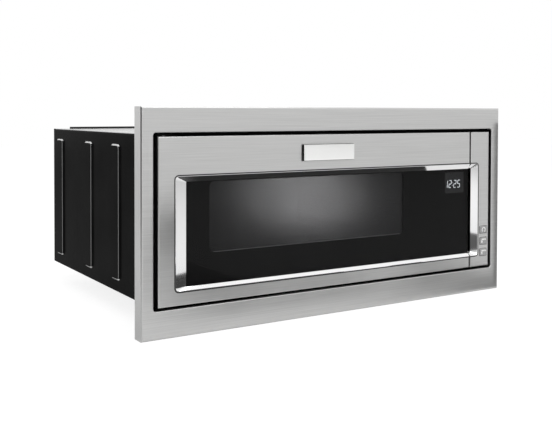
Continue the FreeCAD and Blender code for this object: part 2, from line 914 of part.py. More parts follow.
def make_door_carrier():
    """Moulded carrier inside the door skin, which backs the glass and holds the hinge bushes."""
    left, right = UNIT_LEFT + D.skin_sheet, DOOR_RIGHT - D.skin_sheet
    low, high = UNIT_LOW + D.skin_sheet, UNIT_HIGH - D.skin_sheet
    sheet_back = FRONT + D.skin_sheet
    carrier = Piece("door_carrier")
    carrier.pad("XZ", GLASS_BACK, CARRIER_BACK, rect(left, right, low, high))
    rim = D.carrier_rim
    carrier.pad(
        "XZ", sheet_back + D.skin_bend, GLASS_BACK,
        polygon(
            (right, low), (right, low + rim), (left + rim, low + rim), (left + rim, high - rim),
            (right, high - rim), (right, high), (left, high), (left, low),
        ),
    )
    boss = D.pin_radius + D.pin_play + D.bush_wall + D.boss_wall
    for side in (-1, 1):
        carrier.pad(
            "XY", *bush_ends(side), rect(left, HINGE_X + boss, sheet_back + D.skin_bend, HINGE_Y + boss),
        )
    carrier.pocket(
        "XZ", GLASS_BACK, CARRIER_BACK,
        rect(WINDOW_LEFT, WINDOW_RIGHT, WINDOW_LOW, WINDOW_HIGH, D.window_corner),
    )
    carrier.pocket("XZ", GLASS_BACK, GLASS_BACK + D.display_depth, rect(*DISPLAY_X, *DISPLAY_Z))
    carrier.pocket("XY", low, high, disc(HINGE_X, HINGE_Y, D.pin_radius + D.pin_play + D.bush_wall))


DISPLAY_X = (DOOR_RIGHT - D.display_edge - D.display_width, DOOR_RIGHT - D.display_edge)
DISPLAY_Z = (SIGHT_HIGH - D.display_drop - D.display_height, SIGHT_HIGH - D.display_drop)


def make_display():
    """Clock display that lies in the carrier, against the back of the glass."""
    depth = (GLASS_BACK, GLASS_BACK + D.display_depth)
    name_piece("display_module", block(DISPLAY_X, depth, DISPLAY_Z))


def make_badge():
    """Bare plate on the door's head rail."""
    badge = Piece("badge_plate")
    middle = UNIT_LEFT + D.badge_centre + D.column_width / 2
    left = middle - D.badge_width / 2
    low = BEZEL_HIGH + D.badge_rise
    badge.pad(
        "XZ", FRONT - D.badge_thick, FRONT,
        rect(left, left + D.badge_width, low, low + D.badge_height),
    )
    badge.fillet(D.badge_edge, lambda edge: flat(edge, "Y", FRONT - D.badge_thick) or runs(edge, "Y"))


def make_choke():
    """Pressed choke tray with slotted walls, whose back is the window's screen."""
    choke = Piece("door_choke")
    outline = rect(CHOKE_LEFT, CHOKE_RIGHT, CHOKE_LOW, CHOKE_HIGH)
    choke.pad("XZ", CARRIER_BACK, CHOKE_BACK, outline)
    choke.shell(D.choke_sheet, lambda face: flat(face, "Y", CHOKE_BACK))
    wall = D.choke_sheet
    lap = D.pane_lap + D.screen_room
    inside = (WINDOW_LEFT - lap, WINDOW_RIGHT + lap, WINDOW_LOW - lap, WINDOW_HIGH + lap)
    outside = (inside[0] - wall, inside[1] + wall, inside[2] - wall, inside[3] + wall)
    choke.pad("XZ", CARRIER_BACK, CHOKE_BACK, rect(*outside), rect(*inside))
    slot = (CHOKE_LEFT + D.choke_pitch, CHOKE_LEFT + D.choke_pitch + D.choke_slot)
    slots = choke.pocket(
        "XZ", CHOKE_BACK - D.choke_slot_depth, CHOKE_BACK,
        rect(*slot, CHOKE_LOW, CHOKE_LOW + wall),
        rect(*slot, CHOKE_HIGH - wall, CHOKE_HIGH),
    )
    count = math.floor(float(CHOKE_RIGHT - CHOKE_LEFT) / float(D.choke_pitch)) - 1
    choke.row(slots, "X", D.choke_pitch, count)


def make_choke_cover():
    """Moulded ring over the choke on the oven side of the door."""
    cover = Piece("choke_cover")
    cover.pad(
        "XZ", CHOKE_BACK, DOOR_BACK,
        rect(CHOKE_LEFT, CHOKE_RIGHT, CHOKE_LOW, CHOKE_HIGH, D.window_corner),
        rect(WINDOW_LEFT, WINDOW_RIGHT, WINDOW_LOW, WINDOW_HIGH, D.window_corner),
    )


def make_inner_pane():
    """Clear pane on the oven side of the screen, held behind the choke cover's edge."""
    lap = D.pane_lap
    name_piece(
        "inner_pane",
        block(
            (WINDOW_LEFT - lap, WINDOW_RIGHT + lap),
            (CHOKE_BACK - D.pane_thick, CHOKE_BACK),
            (WINDOW_LOW - lap, WINDOW_HIGH + lap),
        ),
    )


HOOK_HEIGHT = D.bar_length / 2 - D.hook_inset


def hook_span():
    """Left and right side of a latch hook."""
    return LATCH_X - D.hook_width / 2, LATCH_X + D.hook_width / 2


def latch_slot(side, room=0):
    """The slot that a latch hook enters, tall enough for the hook's lift."""
    left, right = hook_span()
    low = side * HOOK_HEIGHT - D.hook_barb
    high = side * HOOK_HEIGHT + D.hook_arm + D.hook_lift
    gap = D.hook_room + room
    return rect(left - gap, right + gap, low - D.screen_room, high + D.screen_room)


def make_latch_housing():
    """Moulded housing on the back of the door, with slots for the two latch hooks."""
    housing = Piece("latch_housing")
    housing.pad("XZ", CARRIER_BACK, DOOR_BACK, rect(HOUSING_LEFT, HOUSING_RIGHT, CHOKE_LOW, CHOKE_HIGH))
    housing.shell(D.latch_wall, lambda face: flat(face, "Y", CARRIER_BACK))
    housing.pocket("XZ", DOOR_BACK - D.latch_wall, DOOR_BACK, *[latch_slot(side) for side in (-1, 1)])
    housing.pad(
        "XZ", SPRING_Y - D.spring_radius, DOOR_BACK - D.latch_wall,
        rect(LATCH_X - D.spring_radius, LATCH_X + D.spring_radius, SPRING_LOW - D.spring_post, SPRING_LOW),
    )


BAR_BACK = DOOR_BACK - D.latch_wall - D.latch_room
BAR_FRONT = BAR_BACK - D.bar_thick
SPRING_Y = BAR_BACK - D.spring_radius
SPRING_LOW = -D.bar_length / 2 - D.spring_length


def make_latch_key():
    """Sliding bar with two hooks that catch behind the latch board's lips."""
    left, right = hook_span()
    bar = block(
        (LATCH_X - D.bar_width / 2, LATCH_X + D.bar_width / 2),
        (BAR_FRONT, BAR_BACK),
        (-D.bar_length / 2, D.bar_length / 2),
    )
    hooks = []
    for side in (-1, 1):
        low = side * HOOK_HEIGHT
        tip = D.hook_depth
        hook = Piece(f"hook_{side}", written=False)
        hook.pad(
            "YZ", left, right,
            polygon(
                (BAR_FRONT, low), (tip - D.hook_tip, low), (tip - D.hook_tip, low - D.hook_barb),
                (tip - D.hook_tip / 2, low - D.hook_barb), (tip, low + D.hook_arm / 2),
                (tip, low + D.hook_arm), (BAR_FRONT, low + D.hook_arm),
            ),
        )
        hooks.append(hook.body)
    name_piece("latch_key", joined([bar, *hooks]))


def make_latch_spring():
    """Close-wound spring that pulls the latch bar down to its post."""
    span = (SPRING_LOW, -D.bar_length / 2)
    name_piece(
        "latch_spring",
        cut(
            rod("z", D.spring_radius, *span, LATCH_X, SPRING_Y),
            rod("z", D.spring_radius - D.spring_wire, *span, LATCH_X, SPRING_Y),
        ),
    )


# hinges


def make_hinges():
    """Upper and lower hinge plates on the chassis, their pins, and the door's bushes."""
    plates, pins, bushes = [], [], []
    for side in (1, -1):
        edge = UNIT_HIGH if side > 0 else UNIT_LOW
        near = edge + side * D.hinge_gap
        far = near + side * D.hinge_plate
        end = far + side * D.hinge_flange
        x = (HINGE_X - D.hinge_width / 2, HINGE_X + D.hinge_width / 2)
        leaf = (near, far) if side > 0 else (far, near)
        upright = (far, end) if side > 0 else (end, far)
        plate = joined([
            block(x, (HINGE_Y - D.hinge_nose, PLATE_FRONT), leaf),
            block(x, (PLATE_FRONT - D.hinge_plate, PLATE_FRONT), upright),
        ])
        plates.append(cut(plate, rod("z", D.pin_radius, *leaf, HINGE_X, HINGE_Y)))
        tip = edge - side * D.pin_reach
        pins.append(rod("z", D.pin_radius, *((tip, far) if side > 0 else (far, tip)), HINGE_X, HINGE_Y))
        bore = D.pin_radius + D.pin_play
        sleeve = rod("z", bore + D.bush_wall, *bush_ends(side), HINGE_X, HINGE_Y)
        bushes.append(cut(sleeve, rod("z", bore, *bush_ends(side), HINGE_X, HINGE_Y)))
    name_piece("hinge_plates", group(plates))
    name_piece("hinge_pins", group(pins))
    name_piece("door_bushes", group(bushes))


# control column

POCKET_LEFT = COLUMN_LEFT - D.pocket_reach
POCKET_BACK = D.pocket_floor + D.pocket_wall
KEY_X = UNIT_RIGHT - D.key_inset
KEY_BACK = FRONT - D.key_proud + D.key_depth
KEY_BOARD_FRONT = KEY_BACK + D.key_travel + D.key_room + D.key_switch_depth
KEY_BOARD_BACK = KEY_BOARD_FRONT + D.key_board_thick


def key_height(index):
    """Middle height of a key, counted up from the lowest."""
    return UNIT_LOW + D.key_low + index * D.key_pitch


def make_column_skin():
    """Folded stainless skin of the control column, cut for the finger pocket and three keys."""
    skin = Piece("column_skin")
    skin.pad("XZ", FRONT, FRONT + D.skin_return, rect(COLUMN_LEFT, UNIT_RIGHT, UNIT_LOW, UNIT_HIGH))
    skin.fillet(D.skin_bend, lambda edge: flat(edge, "Y", FRONT))
    skin.shell(D.skin_sheet, lambda face: flat(face, "Y", FRONT + D.skin_return))
    corner = D.bezel_corner + D.bezel_lip
    skin.pocket(
        "XZ", FRONT, FRONT + D.skin_return,
        rect(COLUMN_LEFT - D.stile_width, BEZEL_RIGHT, BEZEL_LOW, BEZEL_HIGH, corner),
    )
    across = D.key_width / 2 + D.key_room
    up = D.key_height / 2 + D.key_room
    skin.pocket(
        "XZ", FRONT, FRONT + D.skin_sheet,
        *[rect(KEY_X - across, KEY_X + across, key_height(i) - up, key_height(i) + up, D.key_edge)
          for i in range(3)],
    )


def make_finger_pocket():
    """Chrome tub beside and behind the door's free edge, bevelled like the bezel."""
    tub = Piece("finger_pocket")
    corner = D.bezel_corner + D.bezel_lip
    lip = D.bezel_lip
    past = COLUMN_LEFT - D.stile_width
    tub.pad("XZ", FRONT, PLATE_FRONT, rect(past, BEZEL_RIGHT, BEZEL_LOW, BEZEL_HIGH, corner))
    tub.pocket("XZ", FRONT, PLATE_FRONT, rect(past, COLUMN_LEFT, BEZEL_LOW, BEZEL_HIGH))
    tub.pad("XZ", PLATE_FRONT, POCKET_BACK, rect(POCKET_LEFT, BEZEL_RIGHT, BEZEL_LOW, BEZEL_HIGH))
    left = POCKET_LEFT + D.pocket_wall
    mouth = rect(left, BEZEL_RIGHT - lip, BEZEL_LOW + lip, BEZEL_HIGH - lip, D.bezel_corner)
    throat = rect(left, BEZEL_RIGHT - lip - D.pocket_bevel, SIGHT_LOW, SIGHT_HIGH, D.bezel_inner_corner)
    floor = rect(left, BEZEL_RIGHT - D.pocket_run, SIGHT_LOW, SIGHT_HIGH, D.bezel_inner_corner)
    tub.loft("Subtractive", "XZ", (FRONT, mouth), (FRONT + D.pocket_bevel, throat))
    tub.loft("Subtractive", "XZ", (FRONT + D.pocket_bevel, throat), (D.pocket_floor, floor))


def make_keys():
    """Three small caps that travel into the column, each with a flange behind the skin."""
    flange_front = FRONT + D.skin_sheet + D.key_room
    for index in range(3):
        z = key_height(index)
        key = Piece(f"key_{index + 1}")
        across, up = D.key_width / 2, D.key_height / 2
        key.pad("XZ", FRONT - D.key_proud, KEY_BACK,
                rect(KEY_X - across, KEY_X + across, z - up, z + up, D.key_edge))
        key.chamfer(D.key_room * 2, lambda edge: flat(edge, "Y", FRONT - D.key_proud))
        across, up = across + D.key_flange, up + D.key_flange
        key.pad("XZ", flange_front, flange_front + D.key_flange_thick,
                rect(KEY_X - across, KEY_X + across, z - up, z + up, D.key_edge))


def make_key_board():
    """Small board with one push switch behind each key."""
    inner = BEZEL_RIGHT + D.column_wall
    right = UNIT_RIGHT - D.skin_sheet
    low = key_height(0) - D.key_pitch / 2
    high = key_height(2) + D.key_pitch / 2
    board = block((inner, right), (KEY_BOARD_FRONT, KEY_BOARD_BACK), (low, high))
    half = D.key_switch / 2
    switches = [
        block((KEY_X - half, KEY_X + half), (KEY_BOARD_FRONT - D.key_switch_depth, KEY_BOARD_FRONT),
              (key_height(i) - half, key_height(i) + half))
        for i in range(3)
    ]
    name_piece("key_board", joined([board, *switches]))


def make_column_carrier():
    """Moulded carrier that holds the column's skin and key board on the chassis."""
    carrier = Piece("column_carrier")
    outline = rect(
        BEZEL_RIGHT + D.column_wall, UNIT_RIGHT - D.skin_sheet,
        UNIT_LOW + D.skin_sheet, UNIT_HIGH - D.skin_sheet,
    )
    carrier.pad("XZ", KEY_BOARD_BACK, PLATE_FRONT, outline)
    carrier.shell(D.column_wall, lambda face: flat(face, "Y", PLATE_FRONT))


# case


def make_case_wrapper():
    """Black sheet wrapper over the top and sides, with three pressed ribs on each side."""
    case = Piece("case_wrapper")
    case.pad("XZ", as_size(0), CASE_BACK, rect(-CASE_X, CASE_X, CASE_LOW, CASE_HIGH))
    case.fillet(D.case_bend, lambda edge: runs(edge, "Y") and flat(edge, "Z", CASE_HIGH))
    case.shell(
        D.case_sheet,
        lambda face: flat(face, "Y", 0) or flat(face, "Y", CASE_BACK) or flat(face, "Z", CASE_LOW),
    )
    low, high = CASE_LOW + D.rib_end, CASE_HIGH - D.rib_end
    half = D.rib_width / 2
    inset = D.rib_slope
    rear = D.case_depth - D.rib_setback
    centres = (rear - D.rib_pitch_rear - D.rib_pitch_front, rear - D.rib_pitch_rear, rear)
    for side in (-1, 1):
        crest = side * (CASE_X + D.rib_height)
        wall = side * CASE_X
        ribs = [rect(y - half, y + half, low, high, D.rib_corner) for y in centres]
        case.pad("YZ", *sorted((crest, wall), key=float), *ribs)
        case.chamfer(D.rib_slope, lambda edge: flat(edge, "X", crest))
        hollow = [
            rect(y - half + inset, y + half - inset, low + inset, high - inset, D.rib_corner - inset)
            for y in centres
        ]
        depth = (crest - side * D.case_sheet, wall - side * D.case_sheet)
        case.pocket("YZ", *sorted(depth, key=float), *hollow)


def vents(piece, plane, low, high, left, start, columns, rows):
    """Rows of vent slots through a sheet, from their first corner."""
    pitch = D.vent_length + D.vent_pitch
    first = [
        rect(left + i * pitch, left + i * pitch + D.vent_length, start, start + D.vent_width)
        for i in range(columns)
    ]
    piece.row(piece.pocket(plane, low, high, *first), plane[1], D.vent_pitch, rows)


def make_base_plate():
    """Folded base tray under the works."""
    tray = Piece("base_plate")
    tray.pad("XY", CASE_LOW, CASE_LOW + D.tray_wall, rect(-INNER_X, INNER_X, as_size(0), CASE_BACK))
    tray.shell(D.case_sheet, lambda face: flat(face, "Z", CASE_LOW + D.tray_wall))


def make_back_panel():
    """Rear panel with intake and exhaust vents, the cord gland's hole and an upstanding lip."""
    panel = Piece("back_panel")
    lip = CASE_X - D.rear_lip_side
    top = CASE_HIGH + D.rear_lip
    panel.pad(
        "XZ", CASE_BACK, D.case_depth,
        polygon((-CASE_X, CASE_LOW), (CASE_X, CASE_LOW), (CASE_X, CASE_HIGH), (lip, CASE_HIGH), (lip, top),
                (-lip, top), (-lip, CASE_HIGH), (-CASE_X, CASE_HIGH)),
    )
    sheet_span = (CASE_BACK, D.case_depth)
    vents(panel, "XZ", *sheet_span, FAN_X - D.vent_length - D.vent_pitch / 2, FAN_Z - 4 * D.vent_pitch, 2, 8)
    vents(panel, "XZ", *sheet_span, DUCT_LEFT + D.vent_pitch, OVER_ROOF + D.vent_pitch / 2, 3, 3)
    panel.pocket("XZ", CASE_BACK, D.case_depth, disc(GLAND_X, GLAND_Z, D.gland_radius))


GLAND_X = CASE_X - D.gland_inset
GLAND_Z = CASE_LOW + D.gland_rise


def make_cord_gland():
    """Grommet in the rear panel, with the bore for a supply cord."""
    rim = D.gland_radius + D.gland_flange
    back = D.case_depth
    body = joined([
        rod("y", D.gland_radius, CASE_BACK - D.gland_depth, back, GLAND_X, GLAND_Z),
        rod("y", rim, back, back + D.gland_flange, GLAND_X, GLAND_Z),
    ])
    bore = rod("y", D.gland_bore, CASE_BACK - D.gland_depth, back + D.gland_flange, GLAND_X, GLAND_Z)
    name_piece("cord_gland", cut(body, bore))


# oven cavity and its works

GUIDE_FRONT = D.port_front - D.guide_lead
GUIDE_BACK = GUIDE_FRONT + D.guide_length
GUIDE_Z = CAVITY_LOW + D.guide_centre
GUIDE_OUT = WALL_RIGHT + D.guide_depth
ANTENNA_Y = GUIDE_BACK - D.antenna_setback
LAMP_Z = CAVITY_HIGH - D.lamp_drop
DUCT_LEFT = CAVITY_LEFT + D.duct_inset


def port(lap=0):
    """The waveguide's port in the cavity wall, grown by a lap."""
    half = D.port_height / 2 + lap
    return rect(D.port_front - lap, D.port_front + D.port_width + lap, GUIDE_Z - half, GUIDE_Z + half,
                D.cavity_corner)


def make_cavity():
    """Oven cavity drawn as a tub, flanged at its mouth."""
    wall = D.cavity_sheet
    tub = Piece("oven_cavity")
    tub.pad(
        "XZ", as_size(0), D.cavity_depth + wall,
        rect(CAVITY_LEFT - wall, WALL_RIGHT, UNDER_FLOOR, OVER_ROOF, D.cavity_corner + wall),
    )
    tub.shell(wall, lambda face: flat(face, "Y", 0))
    rim = D.cavity_flange
    tub.pad(
        "XZ", as_size(0), wall,
        rect(CAVITY_LEFT - rim, CAVITY_RIGHT + rim, CAVITY_LOW - rim, CAVITY_HIGH + rim),
        rect(CAVITY_LEFT, CAVITY_RIGHT, CAVITY_LOW, CAVITY_HIGH, D.cavity_corner),
    )
    tub.pocket("XY", UNDER_FLOOR, CAVITY_LOW, disc(TABLE_X, TABLE_Y, D.floor_hole))
    lamp_holes = [
        disc(D.lamp_front + y * D.lamp_hole_pitch, LAMP_Z + z * D.lamp_hole_pitch, D.lamp_hole)
        for y in (-1, 0, 1) for z in (-1, 0, 1)
    ]
    tub.pocket("YZ", CAVITY_RIGHT, WALL_RIGHT, port(), *lamp_holes)
    start = D.cavity_depth - 4 * D.vent_pitch
    vents(tub, "XY", CAVITY_HIGH, OVER_ROOF, DUCT_LEFT + D.vent_pitch, start, 3, 3)


def make_mica_cover():
    """Mica plate over the waveguide's port."""
    mica = Piece("mica_cover")
    mica.pad("YZ", CAVITY_RIGHT - D.mica_thick, CAVITY_RIGHT, port(D.mica_lap))


def make_waveguide():
    """Sheet duct from the magnetron's antenna to the cavity's port."""
    guide = Piece("waveguide")
    half = D.guide_height / 2
    guide.pad("YZ", WALL_RIGHT, GUIDE_OUT, rect(GUIDE_FRONT, GUIDE_BACK, GUIDE_Z - half, GUIDE_Z + half))
    guide.shell(D.guide_sheet, lambda face: flat(face, "X", WALL_RIGHT))
    guide.pocket("YZ", GUIDE_OUT - D.guide_sheet, GUIDE_OUT, disc(ANTENNA_Y, GUIDE_Z, D.antenna_radius))


YOKE_OUT = GUIDE_OUT + D.yoke_length


def make_magnetron():
    """Magnetron: yoke with antenna and filter box, and the finned anode inside it."""
    y = (ANTENNA_Y - D.yoke_width / 2, ANTENNA_Y + D.yoke_width / 2)
    z = (GUIDE_Z - D.yoke_height / 2, GUIDE_Z + D.yoke_height / 2)
    sheet_wall = D.yoke_sheet
    inside = block((GUIDE_OUT + sheet_wall, YOKE_OUT - sheet_wall), y, (z[0] + sheet_wall, z[1] - sheet_wall))
    yoke = cut(block((GUIDE_OUT, YOKE_OUT), y, z), inside)
    half_y, half_z = D.filter_width / 2, D.filter_height / 2
    box = block((YOKE_OUT, YOKE_OUT + D.filter_length), (ANTENNA_Y - half_y, ANTENNA_Y + half_y),
                (GUIDE_Z - half_z, GUIDE_Z + half_z))
    antenna = rod("x", D.antenna_radius, GUIDE_OUT - D.antenna_length, GUIDE_OUT, ANTENNA_Y, GUIDE_Z)
    name_piece("magnetron_case", joined([yoke, box, antenna]))

    inner = (GUIDE_OUT + sheet_wall, YOKE_OUT - sheet_wall)
    stack = (D.fin_count - 1) * D.fin_pitch + D.fin_thick
    start = (inner[0] + inner[1]) / 2 - stack / 2
    parts = [rod("x", D.anode_radius, *inner, ANTENNA_Y, GUIDE_Z)]
    for low, high in ((inner[0], start - D.fin_pitch), (start + stack + D.fin_pitch, inner[1])):
        parts.append(rod("x", D.magnet_radius, low, high, ANTENNA_Y, GUIDE_Z))
    for index in range(int(D.fin_count)):
        x = start + index * D.fin_pitch
        parts.append(block((x, x + D.fin_thick), (y[0] + sheet_wall, y[1] - sheet_wall),
                           (z[0] + sheet_wall, z[1] - sheet_wall)))
    name_piece("magnetron_anode", joined(parts))


CORE_LEFT = WALL_RIGHT + D.core_side - D.core_width / 2


def make_transformer():
    """High-voltage transformer: a laminated core with two windows, and the windings through them."""
    left, right = CORE_LEFT, CORE_LEFT + D.core_width
    front, back = D.core_front, D.core_front + D.core_length
    low, high = TRAY_TOP, TRAY_TOP + D.core_height
    leg = ((left + right) / 2 - D.core_leg / 2, (left + right) / 2 + D.core_leg / 2)
    limb = D.core_limb
    windows = [
        block((left + limb, leg[0]), (front, back), (low + limb, high - limb)),
        block((leg[1], right - limb), (front, back), (low + limb, high - limb)),
    ]
    name_piece("transformer_core", cut(block((left, right), (front, back), (low, high)), *windows))
    split = (low + high) / 2
    coils = []
    for span in ((low + limb, split - D.coil_gap / 2), (split + D.coil_gap / 2, high - limb)):
        coil = Piece(f"coil_{len(coils)}", written=False)
        bulge = D.coil_bulge
        coil.pad(
            "XY", *span,
            rect(left + limb, right - limb, front - bulge, back + bulge, bulge),
            rect(*leg, front, back),
        )
        coils.append(coil.body)
    name_piece("transformer_windings", group(coils))


CAN_X = INNER_X - D.can_inset
CAN_FRONT = SHROUD_FRONT - D.can_setback
CAN_Y = CAN_FRONT + D.can_depth / 2


def oval(grow=0):
    """Outline of the capacitor's can, grown by a wall."""
    across, deep = D.can_width / 2 + grow, D.can_depth / 2 + grow
    return rect(CAN_X - across, CAN_X + across, CAN_Y - deep, CAN_Y + deep, deep - D.can_rim)


def make_capacitor():
    """High-voltage capacitor: an oval can with a rolled rim and two tabs, and the clamp that holds it."""
    can = Piece("capacitor")
    top = TRAY_TOP + D.can_height
    can.pad("XY", TRAY_TOP, top, oval())
    can.chamfer(D.can_rim, lambda edge: flat(edge, "Z", top))
    half = D.tab_width / 2
    offset = D.can_width / 4
    thin = D.can_rim / 2
    can.pad(
        "XY", top - D.can_rim, top + D.tab_height,
        *[rect(CAN_X + side * offset - half, CAN_X + side * offset + half, CAN_Y - thin, CAN_Y + thin)
          for side in (-1, 1)],
    )
    clamp = Piece("capacitor_clamp")
    low = TRAY_TOP + D.clamp_rise
    clamp.pad("XY", low, low + D.clamp_band, oval(D.clamp_sheet), oval())
    foot = CAN_X - D.can_width / 2 - D.clamp_sheet
    clamp.pad("XY", TRAY_TOP, low + D.clamp_band,
              rect(foot - D.clamp_sheet, foot, CAN_Y - D.clamp_band / 2, CAN_Y + D.clamp_band / 2))
    clamp.pad("XY", TRAY_TOP, TRAY_TOP + D.clamp_sheet,
              rect(foot - D.clamp_band, foot, CAN_Y - D.clamp_band / 2, CAN_Y + D.clamp_band / 2))


def make_diode():
    """High-voltage diode with its earthing lug on the base."""
    y = CAN_FRONT - D.diode_lug
    x = CAN_X - D.can_width / 2
    z = TRAY_TOP + D.diode_radius
    half = D.diode_radius
    body = rod("x", D.diode_radius, x, x + D.diode_length, y, z)
    lug = block((x - D.diode_lug, x), (y - half, y + half), (TRAY_TOP, TRAY_TOP + D.clamp_sheet))
    name_piece("hv_diode", joined([body, lug]))


def make_control_board():
    """Control board on four posts behind the column, with relays and a small supply transformer."""
    right = INNER_X - D.control_inset
    left = right - D.control_width
    high = INNER_HIGH - D.control_drop
    low = high - D.control_height
    front, back = D.control_setback, D.control_setback + D.board_sheet
    board = block((left, right), (front, back), (low, high))
    edge = D.standoff_radius * 2
    posts = [
        rod("y", D.standoff_radius, as_size(0), front, x, z)
        for x in (left + edge, right - edge) for z in (low + edge, high - edge)
    ]
    middle = ((low + high) / 2 - D.relay_height / 2, (low + high) / 2 + D.relay_height / 2)
    starts = [left + edge + i * (D.relay_width + edge) for i in range(3)]
    relays = [block((x, x + D.relay_width), (back, back + D.relay_depth), middle) for x in starts[:2]]
    supply = block((starts[2], starts[2] + D.relay_height), (back, back + D.relay_depth + edge), middle)
    name_piece("control_board", joined([board, *posts, *relays, supply]))


def make_filter_board():
    """Mains filter board on posts above the cavity's roof."""
    right = CAVITY_RIGHT - D.filter_board_inset
    left = right - D.filter_board_width
    front = D.filter_board_front
    back = front + D.filter_board_length
    low = OVER_ROOF + D.filter_board_rise
    high = low + D.board_sheet
    edge = D.standoff_radius * 2
    posts = [
        rod("z", D.standoff_radius, OVER_ROOF, low, x, y)
        for x in (left + edge, right - edge) for y in (front + edge, back - edge)
    ]
    middle = (front + back) / 2
    coil = cut(
        rod(
            "z", D.choke_coil_radius, high, high + D.choke_coil_height, left + D.choke_coil_radius * 2, middle
        ),
        rod("z", D.choke_coil_radius / 2, high, high + D.choke_coil_height, left + D.choke_coil_radius * 2,
            middle),
    )
    fuse = block((right - D.relay_height - edge, right - edge), (middle - edge, middle + edge),
                 (high, high + edge * 2))
    name_piece("filter_board", joined([block((left, right), (front, back), (low, high)), *posts, coil, fuse]))


# cooling fan

FAN_X = (WALL_RIGHT + INNER_X) / 2
FAN_Z = (TRAY_TOP + INNER_HIGH) / 2
SHROUD_BACK = SHROUD_FRONT + D.shroud_sheet
MOTOR_FRONT = SHROUD_BACK + D.motor_setback
MOTOR_BACK = MOTOR_FRONT + D.motor_length


def make_fan_shroud():
    """Bulkhead across the works bay, with the fan's ring duct and the motor's two posts."""
    shroud = Piece("fan_shroud")
    ring = D.fan_radius + D.fan_room
    wall = (WALL_RIGHT + D.bracket_width / 4, INNER_X - D.case_sheet, TRAY_TOP, INNER_HIGH - D.case_bend)
    shroud.pad("XZ", SHROUD_FRONT, SHROUD_BACK, rect(*wall))
    shroud.pad("XZ", SHROUD_FRONT - D.duct_depth, SHROUD_BACK, disc(FAN_X, FAN_Z, ring + D.duct_wall))
    shroud.pocket("XZ", SHROUD_FRONT - D.duct_depth, SHROUD_BACK, disc(FAN_X, FAN_Z, ring))
    post = D.bracket_width / 2
    reach = ring + D.duct_wall + post
    shroud.pad(
        "XZ", SHROUD_FRONT, MOTOR_FRONT,
        *[rect(FAN_X + side * reach - post, FAN_X + side * reach + post, FAN_Z - post, FAN_Z + post)
          for side in (-1, 1)],
    )


def make_fan_motor():
    """Shaded-pole motor: laminations, coil and bearing bridges, on a strap across the shroud's posts."""
    half_x, half_z = D.motor_width / 2, D.motor_height / 2
    strap = D.fan_radius + D.fan_room + D.duct_wall + D.bracket_width
    post = D.bracket_width / 2
    depth = (MOTOR_FRONT, MOTOR_BACK)
    bearings = (MOTOR_FRONT - D.bearing_length, MOTOR_BACK + D.bearing_length)
    parts = [
        block((FAN_X - half_x, FAN_X + half_x), depth, (FAN_Z - half_z, FAN_Z + half_z)),
        block((FAN_X - strap, FAN_X + strap), (MOTOR_FRONT, MOTOR_FRONT + D.clamp_sheet),
              (FAN_Z - post, FAN_Z + post)),
        rod("x", D.motor_coil, FAN_X - half_x / 2, FAN_X + half_x / 2, (MOTOR_FRONT + MOTOR_BACK) / 2,
            FAN_Z - half_z),
        rod("y", D.motor_bearing, *bearings, FAN_X, FAN_Z),
    ]
    bore = rod("y", D.fan_shaft + D.pin_play, *bearings, FAN_X, FAN_Z)
    name_piece("fan_motor", cut(joined(parts), bore))


HUB_BACK = SHROUD_BACK
HUB_FRONT = HUB_BACK - D.hub_length


def make_fan():
    """Cooling fan: five twisted blades on a hub, and the motor's shaft."""
    fan = Piece("fan_blade")
    fan.pad("XZ", HUB_FRONT, HUB_BACK, disc(0, 0, D.hub_radius), at=(FAN_X, FAN_Z))
    middle = (HUB_FRONT + HUB_BACK) / 2

    def section(chord):
        thick = D.blade_thick
        return polygon(
            (middle - D.blade_depth, FAN_Z - chord), (middle - D.blade_depth + thick, FAN_Z - chord),
            (middle + D.blade_depth, FAN_Z + chord), (middle + D.blade_depth - thick, FAN_Z + chord),
        )

    root = FAN_X + D.hub_radius - D.blade_thick * 3
    tip = FAN_X + D.fan_radius
    blade = fan.loft("Additive", "YZ", (root, section(D.blade_root)), (tip, section(D.blade_tip)))
    fan.polar(blade, D.blade_count)
    fan.pocket("XZ", HUB_FRONT, HUB_BACK, disc(FAN_X, FAN_Z, D.fan_shaft))
    name_piece("fan_shaft", rod("y", D.fan_shaft, HUB_FRONT, MOTOR_BACK + D.bearing_length, FAN_X, FAN_Z))


# lamp, duct and cut-outs


def make_lamp():
    """Oven lamp behind the cavity's holes: a moulded holder with the bulb inside."""
    holder = Piece("lamp_holder")
    half = D.lamp_case / 2
    out = WALL_RIGHT + D.lamp_length
    box = rect(D.lamp_front - half, D.lamp_front + half, LAMP_Z - half, LAMP_Z + half)
    holder.pad("YZ", WALL_RIGHT, out, box)
    holder.shell(D.lamp_wall, lambda face: flat(face, "X", WALL_RIGHT))
    seat = out - D.lamp_wall
    bulb = Piece("lamp_bulb")
    bulb.revolve(
        "XZ", D.lamp_front, (seat, LAMP_Z),
        polygon(
            (0, 0), (-D.bulb_length, 0), (-D.bulb_length, D.bulb_radius),
            (-D.bulb_cap * 2, D.bulb_radius), (-D.bulb_cap, D.bulb_cap), (0, D.bulb_cap),
        ),
        axis="H_Axis",
    )


def make_exhaust_duct():
    """Duct on the cavity's roof that leads steam to the rear vents."""
    duct = Piece("exhaust_duct")
    back = CASE_BACK
    plan = rect(DUCT_LEFT, DUCT_LEFT + D.duct_width, back - D.duct_length, back)
    duct.pad("XY", OVER_ROOF, INNER_HIGH, plan)
    duct.shell(D.duct_sheet, lambda face: flat(face, "Z", OVER_ROOF) or flat(face, "Y", back))


def make_cutouts():
    """Two thermal cut-outs on the cavity's roof."""
    discs = [
        rod("z", D.cutout_radius, OVER_ROOF, OVER_ROOF + D.cutout_height, TABLE_X + side * D.cutout_spread,
            D.cutout_front)
        for side in (-1, 1)
    ]
    name_piece("thermal_cutouts", group(discs))


# turntable


